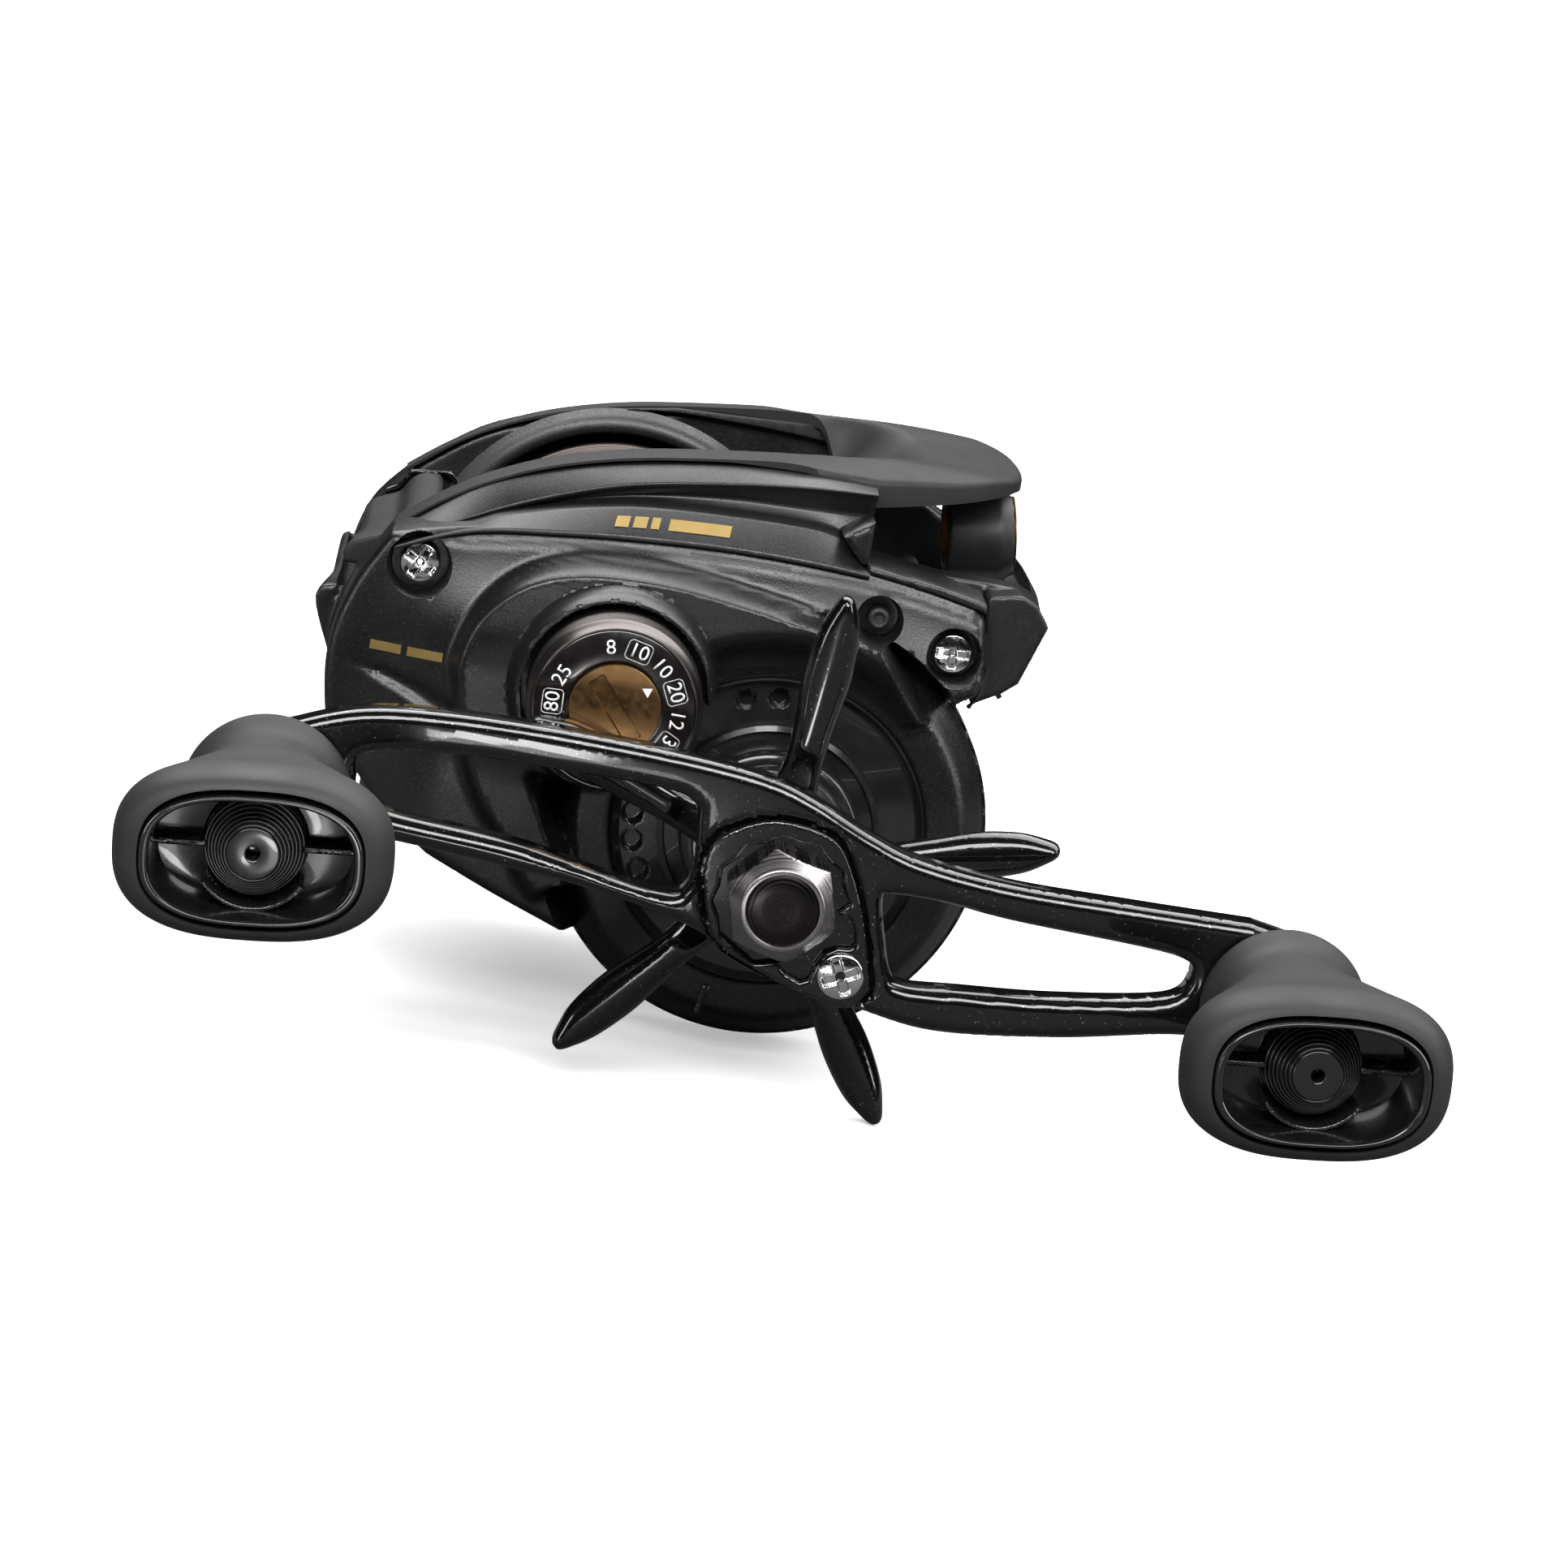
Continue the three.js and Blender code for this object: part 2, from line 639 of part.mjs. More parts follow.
// ---- Clutch ----
// A bar between the yoke's two posts.
function yokeBeam(width, y0, y1) {
  const [a, b] = YOKE_POSTS;
  const bar = new THREE.BoxGeometry(18, y1 - y0, width).rotateY(-heading(b, a));
  return solid(bar.translate(SPOOL.x, (y0 + y1) / 2, SPOOL.z));
}

function clutchYoke() {
  const [a, b] = YOKE_POSTS;
  const ends = [a, b].map((at) => rod(at, 2.2, -25.4, -24.6, 16));
  const mouth = new THREE.BoxGeometry(4.6, 3, 5).translate(0, 0, 2.5).rotateY(-heading(b, a));
  return cut(
    join(yokeBeam(5, -25.4, -24.6), ...ends),
    rod(SPOOL, 2.3, -26, -24, 20),
    solid(mouth.translate(SPOOL.x, -25, SPOOL.z)),
    ...[a, b].map((at) => rod(at, 1.2, -26, -24, 12)),
  );
}

class Helix extends THREE.Curve {
  constructor(at, r, y0, y1, turns) {
    super();
    Object.assign(this, { at, r, y0, y1, turns });
  }
  getPoint(t, target = new THREE.Vector3()) {
    const angle = 2 * Math.PI * this.turns * t;
    return target.set(
      this.at.x + this.r * Math.cos(angle),
      THREE.MathUtils.lerp(this.y0, this.y1, t),
      this.at.z + this.r * Math.sin(angle),
    );
  }
}

const yokeSpring = (at) =>
  solid(
    new THREE.ExtrudeGeometry(new THREE.Shape().absarc(0, 0, 0.2, 0, 2 * Math.PI), {
      extrudePath: new Helix(at, 1.6, -25.8, -28.3, 3),
      steps: 18,
      curveSegments: 3,
      bevelEnabled: false,
    }),
  );

// A ring round the pinion whose arm reaches back under the thumb bar's tongue.
function clutchCam() {
  const arm = outline([-6, 23.5], [-21.6, 25.9], [-22.8, 25.9], [-22.8, 24.6], [-6, 18.5]);
  return cut(
    join(tube(SPOOL, 5.6, 7.6, -18.6, -17.4, 24), slab(arm, -18.6, -17.4)),
    rod(SPOOL, 5.6, -19, -17, 28),
  );
}

function thumbBar() {
  const section = outline(
    [-27.4, 25.2],
    [-27.4, 26.5],
    [-26, 27.7],
    [-23.7, 28.3],
    [-21.5, 30.9],
    [-19.5, 31.2],
    [-18.9, 30.5],
    [-19.4, 29.6],
    [-21.4, 28.2],
    [-22.4, 26.6],
    [-23.6, 25.2],
  );
  return join(slab(section, -12.9, 12.9, 0.4), block(-22.9, -21.6, -18.5, -12, 26.3, 27.5));
}

// ---- Drive train ----
function ratchet() {
  const teeth = 12;
  const shape = new THREE.Shape();
  for (let i = 0; i < teeth; i++) {
    for (const [across, r] of [[0, 6.2], [0.9, 7.4], [1, 7.4]]) {
      const angle = ((i + across) / teeth) * 2 * Math.PI;
      shape.lineTo(DRIVE.x + r * Math.cos(angle), DRIVE.z + r * Math.sin(angle));
    }
  }
  shape.curves.shift();
  shape.holes.push(new THREE.Path().absarc(DRIVE.x, DRIVE.z, DRIVE_BORE_R, 0, 2 * Math.PI, true));
  return slab(shape, -20.1, -19.1, 0, 8);
}

function pawl() {
  const arm = outline([-1.2, -0.8], [-0.9, 2.6], [0.4, 4.7], [1.3, 4.3], [1.3, 1.2], [1.2, -0.8]);
  return cut(join(rod(ORIGIN, 1.8, -20, -19.2), slab(arm, -20, -19.2)), rod(ORIGIN, 1.05, -21, -18));
}

const driveShaft = () =>
  turned(
    DRIVE,
    [[0, -14.7], [DRIVE_SHAFT_R, -14.7], [DRIVE_SHAFT_R, -40.9], [2.4, -40.9], [2.4, -53.7], [0, -53.7]],
    20,
  );

function driveGear() {
  const relief = tube(DRIVE, 11, 16.4, -23.5, -22.4, 18);
  return cut(
    gear(DRIVE, DRIVE_TEETH, DRIVE_MODULE, DRIVE_PHASE, -23.2, -20.4, DRIVE_BORE_R),
    relief,
  );
}

const armBlade = () =>
  outline(
    [5, -2.1],
    [[7.5, -2.3], [11, -1.7], [15, -1.9], [19, -2.3], [23, -1.8], [26.1, -0.7], [STAR_R, 0.1]],
    [[26, 0.9], [23, 2], [19, 2.4], [15, 2], [11, 1.7], [7.5, 2.3], [5, 2.1]],
  );

function starDrag() {
  const lift = (x, y, z) => [x, y - 1.7 * THREE.MathUtils.smoothstep(Math.hypot(x, z), 7, 12), z];
  const arms = [0, 1, 2, 3, 4].map((i) =>
    solid(reshape(slabGeometry(armBlade(), -39.5, -37.2), lift).rotateY((-i * 2 * Math.PI) / 5)),
  );
  const hub = turned(ORIGIN, [[0, -33], [6.4, -33], [7, -36], [6.8, -40.6], [0, -40.6]]);
  return cut(join(hub, ...arms), rod(ORIGIN, DRIVE_SHAFT_R + 0.2, -42, -32));
}

// ---- Handle, drawn along X through its own middle ----
const RETAINER_SCREW = { x: 6.8, z: -5.5 };
const teardrop = (grow) =>
  outline(
    [-7.6 - grow, 1.2],
    [
      [-7 - grow, 4.6 + grow],
      [-2.5, 7.4 + grow],
      [3.2 + grow, 6.9 + grow],
      [6 + grow, 3.6],
      [8.2 + grow, -1.2],
      [9.8 + grow, -6.3],
    ],
    [
      [8.4 + grow, -8.3 - grow],
      [5.7, -8.3 - grow],
      [-0.8, -6.6 - grow],
      [-5.4 - grow, -4.2 - grow],
      [-7.6 - grow, 1.2],
    ],
  );

const HANDLE_TOP_EDGE = [
  [-50.4, 4.2],
  [-46.5, 6.6],
  [-40.4, 9.2],
  [-32.5, 10.5],
  [-22.3, 11.2],
  [-11.1, 11.4],
  [-3.5, 11],
  [1.3, 9.8],
  [7.1, 7.6],
  [12, 6.3],
  [20.5, 5.8],
  [31.9, 6.2],
  [43.3, 6.7],
];
const HANDLE_LOW_EDGE = [
  [39.3, -5],
  [27.6, -7.6],
  [16.5, -9.2],
  [8.7, -8.5],
  [1.6, -7.7],
  [-3.3, -6.4],
  [-6.8, -4.4],
  [-15.8, -2.8],
  [-26.8, -2.3],
  [-35.3, -2.2],
];

function handle() {
  const shape = outline(
    [-HANDLE_REACH - 3.8, 1],
    HANDLE_TOP_EDGE,
    [[49.2, 5.4], [51.6, 1.6], [51.4, -2.4], [48.6, -4.8], [44, -5.6]],
    HANDLE_LOW_EDGE,
    [[-42, -3.4], [-47, -4.2], [-50.6, -2.4]],
  );
  const windows = [
    outline(
      [-40.1, 3.1],
      [[-39.6, 5.2], [-31.8, 6.9], [-21.5, 7.6], [-11.8, 7.9], [-9.1, 6.8]],
      [[-8.5, -0.1], [-11.9, -1.6], [-24.3, 0], [-38, 0.4]],
    ),
    outline(
      [9.1, 2.6],
      [[14.3, 2.9], [21.3, 2.5], [36.7, 2.3], [38.9, 0.6]],
      [[37, -1.8], [26.7, -3.9], [17.8, -5], [12.9, -5.5], [11.3, -4.4], [9.4, 0.8]],
    ),
  ];
  const stations = [-54, -36, -18, 0, 18, 36, 54];
  const bow = stations.map((x) => [x, HANDLE_FACE + HANDLE_SWEEP * (x / HANDLE_REACH) ** 2]);
  const back = bow.map(([x, y]) => [x, y + HANDLE_THICK]).reverse();
  return cut(
    slab(shape, -56, -44, 0, 2).intersect(upright(outline(...bow, ...back), -30, 30)),
    ...windows.map((window) => slab(window, -54, -45)),
    slab(teardrop(0.3), HANDLE_FACE - 1, HANDLE_FACE + 0.6),
    rod(ORIGIN, 2.6, -54, -47),
    rod(RETAINER_SCREW, 1.1, -54, -49.4, 12),
    ...[-1, 1].map((side) => rod({ x: side * HANDLE_REACH, z: -0.3 }, 2.25, -54, -45)),
  );
}

function handleNut() {
  const hexagon = new THREE.Shape();
  for (let i = 0; i < 6; i++) {
    hexagon.lineTo(5.2 * Math.sin((i * Math.PI) / 3), 5.2 * Math.cos((i * Math.PI) / 3));
  }
  hexagon.curves.shift();
  const chamfer = turned(ORIGIN, [[0, -55], [4.4, -55], [5.4, -54], [5.4, -51.5], [0, -51.5]], 24);
  return cut(slab(hexagon, -55, -51.5).intersect(chamfer), rod(ORIGIN, 2.5, -54, -51));
}

const nutRetainer = () =>
  cut(
    slab(teardrop(0), HANDLE_FACE - 0.3, HANDLE_FACE + 0.5),
    rod(ORIGIN, 5.6, -54, -50, 24),
    rod(RETAINER_SCREW, 2.4, -54, -50, 16),
  );

// ---- Handle knobs, drawn about their own axis ----
// Round at the base and oval at the end: how much a knob's height is squeezed at y.
const ovalness = (y, least) => 1 - (1 - least) * THREE.MathUtils.smoothstep(-y, 56, 69);
function ovalTurned(profile, least, segments) {
  const points = profile.map(([r, y]) => new THREE.Vector2(r, y));
  const squeeze = (x, y, z) => [x, y, z * (Math.hypot(x, z) > 5 ? ovalness(y, least) : 1)];
  return solid(reshape(new THREE.LatheGeometry(points, segments), squeeze));
}

const knobGrip = () =>
  ovalTurned(
    [
      [2.3, KNOB_BASE],
      [7.7, KNOB_BASE],
      [7.6, -52.2],
      [6.8, -56],
      [7.6, -60],
      [9.8, -64],
      [12.2, -68],
      [12.7, -70.5],
      [12.2, -73],
      [10.7, KNOB_END + 0.4],
      [10.2, KNOB_END + 0.4],
      [9.9, -66],
      [2.3, -66],
      [2.3, KNOB_BASE],
    ],
    0.61,
    24,
  );

// The bezel, its well and the stepped cone in the middle.
function knobInsert() {
  const bowl = ovalTurned(
    [
      [0, -66.2],
      [9.6, -66.2],
      [9.9, KNOB_END],
      [9.2, KNOB_END],
      [8.9, -67],
      [4.5, -67],
      [4.3, -69],
      [3.5, -69.6],
      [3.3, -70.8],
      [2.5, -71.4],
      [2.3, -72],
      [0, -72],
    ],
    0.57,
    24,
  );
  const ribs = block(-9, 9, -69.5, -66.5, -0.25, 0.25);
  return cut(join(bowl, ribs), rod(ORIGIN, 0.6, -74, -69, 10));
}

const knobPost = () =>
  turned(ORIGIN, [[0, -46.6], [2.1, -46.6], [2.1, -50.6], [2.1, -65.8], [0, -65.8]], 16);

// ---- Spool tension knob ----
function tensionKnob() {
  return turned(
    SPOOL,
    [
      [0, -33.5],
      [1.2, -33.5],
      [1.2, -34.8],
      [6, -34.8],
      [6, -31.3],
      [TENSION_R, -31.3],
      [TENSION_R, -36.4],
      [7.7, TENSION_FACE],
      [7.55, TENSION_FACE],
      [7.55, -37.5],
      [4.45, -37],
      [0, -37],
    ],
    24,
  );
}

function lineIndicator() {
  const slot = new THREE.BoxGeometry(7.2, 1.4, 1).rotateY((58 * Math.PI) / 180);
  return cut(rod(SPOOL, 4.3, -38.2, -37.15, 28), solid(slot.translate(SPOOL.x, -38.4, SPOOL.z)));
}

// ---- Level wind ----
const wormShaft = () =>
  turned(WORM, [[0, -19.3], [1.2, -19.3], [1.2, -17.3], [2, -17.3], [2, 15.8], [0, 15.8]]);

function wormGuard() {
  const slot = block(WORM.x - 1.4, WORM.x + 1.4, -11.8, 11.8, WORM.z - 5, WORM.z);
  return cut(tube(WORM, 2.3, 2.9, -13.3, 13.3, 20), slot);
}

// Turns a piece drawn round Y to lie along the line's path through the guide's eye.
const atEye = (geometry) =>
  solid(
    geometry
      .rotateZ(Math.PI / 2)
      .rotateY(-THREE.MathUtils.degToRad(EYE_TILT))
      .translate(EYE.x, 0, EYE.z),
  );

function lineGuide() {
  return cut(
    join(
      atEye(new THREE.CylinderGeometry(4.4, 4.4, 6.4, 20)),
      block(33.2, 38.2, -2.6, 2.6, WORM.z, 32.5),
      tube(WORM, 3.1, CARRIAGE_R, -3.5, 3.5, 18),
      block(GUIDE_ROD.x - 1.6, 34, -2.4, 2.4, GUIDE_ROD.z - 1.6, GUIDE_ROD.z + 1.6),
    ),
    atEye(new THREE.CylinderGeometry(3.75, 3.75, 9, 20)),
    rod(WORM, 3.1, -5, 5, 18),
    rod(GUIDE_ROD, 1.1, -5, 5, 14),
    post(WORM.x, 0, 1.25, 20, 24),
  );
}

// A liner with a lip at each end, clipped into the guide's throat.
function guideRing() {
  const profile = [
    [2.9, -3.5],
    [4, -3.5],
    [4, -3.3],
    [3.6, -3.25],
    [3.6, 3.25],
    [4, 3.3],
    [4, 3.5],
    [2.9, 3.5],
    [2.9, -3.5],
  ];
  const points = profile.map(([r, x]) => new THREE.Vector2(r, x));
  return atEye(new THREE.LatheGeometry(points, 20));
}

// ---- Assembly ----
const reel = new THREE.Group();
reel.name = "baitcasting_reel";

function group(parent, { x, z }, degrees = 0) {
  const g = new THREE.Group();
  g.position.set(x, 0, z);
  g.rotation.y = -THREE.MathUtils.degToRad(degrees);
  parent.add(g);
  return g;
}

function place(name, made, material, parent = reel) {
  const { vertProperties, triVerts } = made.getMesh();
  const geometry = new THREE.BufferGeometry();
  geometry.setAttribute("position", new THREE.BufferAttribute(vertProperties, 3));
  geometry.setIndex(new THREE.BufferAttribute(triVerts, 1));
  geometry.computeVertexNormals();
  const mesh = new THREE.Mesh(geometry, material);
  mesh.name = name;
  parent.add(mesh);
}

// Frame and covers
place("frame", frame(), BLACK_SATIN());
place("reel_foot", reelFoot(), BLACK_SATIN());
place("foot_screw_rear", footScrew(FOOT_SCREW_X[0]), STEEL());
place("foot_screw_front", footScrew(FOOT_SCREW_X[1]), STEEL());
place("handle_side_cover", handleSideCover(), BLACK_SATIN());
place("cover_screw_rear", coverScrew(REAR_SCREW, -24.2, -15), STEEL());
place("cover_screw_front", coverScrew(FRONT_SCREW, -24.2, -19.8), STEEL());
place("oil_port_screw", coverScrew(OIL_SCREW, -25, -21, 1.05, 1.05), BLACK_PLASTIC());
place("front_hood", frontHood(), BLACK_PLASTIC());
place("palm_side_cover", palmSideCover(), BLACK_SATIN());
place("palm_cover_latch", latch(), BLACK_GLOSS(), group(reel, LATCH, 0));

// Spool and its brake
place("spool", spool(), GUNMETAL());
place("spool_shaft", spoolShaft(), STEEL());
place("spool_bearing_inner", tube(SPOOL, 2.52, 5, -16.8, -14.1), STEEL());
place("spool_bearing_outer", tube(SPOOL, SHAFT_R + 0.1, 3.4, -31.4, -29), STEEL());
place("spool_bearing_palm", tube(SPOOL, SHAFT_R + 0.1, 4, 13, 15.8), STEEL());
place("brake_hub", brakeHub(), BLACK_PLASTIC());
for (const i of [0, 1, 2, 3]) {
  place(`brake_block_${i + 1}`, brakeBlock(), BRASS(), group(reel, SPOOL, i * 90));
}
place("brake_drum", brakeDrum(), STEEL());

// Spool tension
place("tension_knob", tensionKnob(), GUNMETAL());
place("tension_dial_plate", tube(SPOOL, 4.6, 7.4, TENSION_FACE, -37.55, 28), BLACK_GLOSS());
place("line_indicator", lineIndicator(), BRONZE());

// Clutch
place("thumb_bar", thumbBar(), BLACK_PLASTIC());
place("clutch_cam", clutchCam(), STEEL());
place("clutch_yoke", clutchYoke(), STEEL());
place("yoke_spring_upper", yokeSpring(YOKE_POSTS[0]), STEEL());
place("yoke_spring_lower", yokeSpring(YOKE_POSTS[1]), STEEL());
place("pinion", pinion(), BRASS());

// Drive train
place("drive_shaft", driveShaft(), STEEL());
place("drive_shaft_bearing", tube(DRIVE, DRIVE_SHAFT_R + 0.1, 4.6, -16.8, -14.7), STEEL());
const TRAIN_Y = [-18.9, -17.4];
place(
  "level_wind_gear",
  gear(DRIVE, TRAIN_TEETH.drive, TRAIN_MODULE, TRAIN_PHASE, ...TRAIN_Y, DRIVE_BORE_R),
  BLACK_PLASTIC(),
);
place(
  "idler_gear",
  gear(IDLER, TRAIN_TEETH.idler, TRAIN_MODULE, IDLER_PHASE, ...TRAIN_Y, 1.65),
  BLACK_PLASTIC(),
);
place(
  "worm_gear",
  gear(WORM, TRAIN_TEETH.worm, TRAIN_MODULE, WORM_PHASE, ...TRAIN_Y, 1.3),
  BLACK_PLASTIC(),
);
place("ratchet_wheel", ratchet(), STEEL());
place("anti_reverse_pawl", pawl(), STEEL(), group(reel, PAWL, 0));
place("drive_gear", driveGear(), BRASS());
place("drag_washer", tube(DRIVE, DRIVE_SHAFT_R + 0.15, 10.5, -23.9, -23.3), BLACK_PLASTIC());
place("anti_reverse_bearing", tube(DRIVE, 4.2, 6.2, -30.4, -24.9), STEEL());
place("anti_reverse_sleeve", tube(DRIVE, DRIVE_SHAFT_R + 0.1, 4, -31.6, -24.1), STEEL());
place("star_drag", starDrag(), BLACK_GLOSS(), group(reel, DRIVE, STAR_ANGLE));
place("handle_spacer", tube(DRIVE, 2.6, 4.4, -48.2, -41), GUNMETAL());

// Handle
const arm = group(reel, DRIVE, HANDLE_ANGLE);
place("handle", handle(), BLACK_GLOSS(), arm);
place("handle_nut", handleNut(), GUNMETAL(), arm);
place("nut_retainer", nutRetainer(), BLACK_GLOSS(), arm);
place("retainer_screw", coverScrew(RETAINER_SCREW, -53, -49.6, 2.2, 0.9), STEEL(), arm);
for (const [side, sign] of [["rear", -1], ["front", 1]]) {
  const end = group(arm, { x: sign * HANDLE_REACH, z: -0.3 }, 8.3);
  place(`knob_post_${side}`, knobPost(), STEEL(), end);
  place(`knob_grip_${side}`, knobGrip(), BLACK_RUBBER(), end);
  place(`knob_insert_${side}`, knobInsert(), BLACK_GLOSS(), end);
}

// Level wind
place("worm_shaft", wormShaft(), STEEL());
place("worm_guard", wormGuard(), BLACK_PLASTIC());
place("guide_rod", rod(GUIDE_ROD, 0.95, -15.5, 15.5, 12), STEEL());
place("line_guide", lineGuide(), BLACK_PLASTIC());
place("line_guide_ring", guideRing(), BRONZE());
place("worm_pawl", post(WORM.x, 0, 1.05, WORM.z - 3.75, WORM.z - 2.15, 12), STEEL());

export default reel;
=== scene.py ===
"""Looks for a low-profile baitcasting reel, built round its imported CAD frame.

Shapes are drawn in millimetres in the CAD frame and stored in metres: +X forwards, -Y the
handle side, +Z up. Outlines are lists of [x, z] stretches; profiles are [radius, y] pairs.
"""

import json
import math

import bmesh
import bpy
import numpy as np
from mathutils import Matrix, Vector
from mathutils.geometry import delaunay_2d_cdt


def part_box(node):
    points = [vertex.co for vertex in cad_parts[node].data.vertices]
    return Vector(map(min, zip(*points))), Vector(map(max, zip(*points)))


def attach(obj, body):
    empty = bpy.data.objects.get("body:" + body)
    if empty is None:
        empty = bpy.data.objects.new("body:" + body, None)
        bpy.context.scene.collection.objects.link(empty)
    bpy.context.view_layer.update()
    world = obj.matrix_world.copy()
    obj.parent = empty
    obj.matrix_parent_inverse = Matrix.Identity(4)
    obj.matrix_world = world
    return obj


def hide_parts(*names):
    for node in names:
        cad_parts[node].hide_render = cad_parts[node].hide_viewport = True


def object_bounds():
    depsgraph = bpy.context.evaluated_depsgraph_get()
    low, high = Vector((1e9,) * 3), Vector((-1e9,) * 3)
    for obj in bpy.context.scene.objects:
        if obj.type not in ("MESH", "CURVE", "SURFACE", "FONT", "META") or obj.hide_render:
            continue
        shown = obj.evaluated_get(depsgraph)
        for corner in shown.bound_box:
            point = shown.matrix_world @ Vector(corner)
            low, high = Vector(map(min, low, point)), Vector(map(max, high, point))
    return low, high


MM = 0.001
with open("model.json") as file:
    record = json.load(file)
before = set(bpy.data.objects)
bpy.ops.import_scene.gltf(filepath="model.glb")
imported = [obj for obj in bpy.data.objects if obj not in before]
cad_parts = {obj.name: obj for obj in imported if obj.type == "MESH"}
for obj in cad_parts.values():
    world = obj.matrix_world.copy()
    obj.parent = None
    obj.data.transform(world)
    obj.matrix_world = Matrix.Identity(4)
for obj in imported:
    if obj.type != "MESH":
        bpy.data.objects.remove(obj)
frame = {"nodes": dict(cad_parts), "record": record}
CAD_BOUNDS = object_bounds()


def axis_of(node):
    """The [x, z] of a node that is round about a Y axis."""
    low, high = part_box(node)
    return np.array([(low[0] + high[0]) / 2, (low[2] + high[2]) / 2]) / MM


SPOOL = axis_of("spool_bearing_inner")
DRIVE = axis_of("anti_reverse_bearing")
WORM = axis_of("worm_shaft")
GUIDE_ROD = axis_of("guide_rod")
REAR_SCREW = axis_of("cover_screw_rear")
FRONT_SCREW = axis_of("cover_screw_front")
OIL_PORT = axis_of("oil_port_screw")
RETAINER_SCREW = axis_of("retainer_screw")
KNOBS = {side: axis_of("knob_post_" + side) for side in ("rear", "front")}
HANDLE_TILT = math.atan2(*(KNOBS["front"] - KNOBS["rear"])[::-1])

PLATE_IN = 13.5
PLATE_OUT = 17.0
HOUSING_R = 21.5
SPOOL_ROOM_R = 17.5  # the room in the frame that the spool turns in
WELL_R = 15.2  # the sunk ring round the drive shaft's sleeve
WELL_FLOOR = -25.0
COVER_BACK = -17.35
FOOT_TOP = 2.15
STAR_R = 26.8
STAR_TILT = 84
HANDLE_FACE = -52.0
HANDLE_THICK = 3.6
HANDLE_SWEEP = 1.6
HANDLE_REACH = 47.5
PALM_FACE = 22.5
FINE = 0.045  # how close feature lines of a relief mesh may run
DIAL_PRINT = -38.0
DISC_FACE = -38.2
EASE_STEPS = (0.08, 0.25, 0.5, 0.75, 1.0)  # where a plate's eased edge has its rings of points


# ---- Drawing ----
def smoothstep(x, low, high):
    t = np.clip((x - low) / (high - low), 0, 1)
    return t * t * (3 - 2 * t)


def spline(points, per=8):
    """Points along a smooth curve through the given points."""
    p = np.array([points[0], *points, points[-1]], dtype=float)
    out = [p[1]]
    for i in range(1, len(p) - 2):
        a, b, c, d = p[i - 1 : i + 3]
        for step in range(1, per + 1):
            t = step / per
            out.append(
                0.5
                * (2 * b + (c - a) * t + (2 * a - 5 * b + 4 * c - d) * t**2
                   + (3 * b - a - 3 * c + d) * t**3)
            )
    return out


def outline(*stretches, per=8):
    """A closed loop: single points join up straight, lists of points join up smoothly."""
    loop = [np.array(stretches[0], dtype=float)]
    for stretch in stretches[1:]:
        if np.ndim(stretch[0]):
            loop += spline([loop[-1], *stretch], per)[1:]
        else:
            loop.append(np.array(stretch, dtype=float))
    return np.array(loop)


def arc(at, r, start, end, count):
    """Points on a circle between two headings in degrees, from +X towards +Z."""
    a = np.radians(np.linspace(start, end, count))
    return np.stack([at[0] + r * np.cos(a), at[1] + r * np.sin(a)], axis=1)


def ring(at, r, count=96):
    return arc(at, r, 0, 360 * (1 - 1 / count), count)


def turn(loop, degrees, at=(0, 0)):
    """A loop drawn about the origin, turned and then moved to `at`."""
    a = math.radians(degrees)
    spin = np.array([[math.cos(a), math.sin(a)], [-math.sin(a), math.cos(a)]])
    return np.asarray(loop) @ spin + np.asarray(at)


def resample(loop, step):
    """The same loop with its long sides broken into steps."""
    out = []
    for a, b in zip(loop, np.roll(loop, -1, axis=0)):
        count = max(1, math.ceil(np.linalg.norm(b - a) / step))
        out += [a + (b - a) * i / count for i in range(count)]
    return np.array(out)


def edge_distance(points, loop):
    """Signed distance from points to a closed loop: positive inside."""
    a, b = loop, np.roll(loop, -1, axis=0)
    ab = b - a
    best = np.full(len(points), np.inf)
    inside = np.zeros(len(points), dtype=bool)
    for start, along in zip(a, ab):
        rel = points - start
        t = np.clip(rel @ along / max(along @ along, 1e-12), 0, 1)
        best = np.minimum(best, np.hypot(*(rel - t[:, None] * along).T))
        end = start + along
        crosses = (start[1] > points[:, 1]) != (end[1] > points[:, 1])
        if along[1]:
            hit = start[0] + (points[:, 1] - start[1]) * along[0] / along[1]
            inside ^= crosses & (points[:, 0] < hit)
    return np.where(inside, best, -best)


def inset(loop, distance):
    """The loop's points moved inwards, leaving out those that a corner swallows."""
    loop = resample(loop, 0.45)
    ahead = np.roll(loop, -1, axis=0) - np.roll(loop, 1, axis=0)
    normal = np.stack([-ahead[:, 1], ahead[:, 0]], axis=1)
    normal /= np.maximum(np.linalg.norm(normal, axis=1), 1e-9)[:, None]
    area = np.sum(loop[:, 0] * np.roll(loop[:, 1], -1) - loop[:, 1] * np.roll(loop[:, 0], -1))
    moved = loop + normal * distance * np.sign(area)
    return moved[edge_distance(moved, loop) > abs(distance) * 0.93]


# ---- Pieces ----
def piece(name, verts, faces, body, slot, replaces=(), sharp=None, look=None):
    """A mesh in millimetres as a piece that rides on a body. Its look is its slot's, if none is given."""
    mesh = bpy.data.meshes.new(name)
    mesh.from_pydata((np.asarray(verts, dtype=float) * MM).tolist(), [], faces)
    return finish_piece(name, mesh, body, slot, replaces, sharp, look)


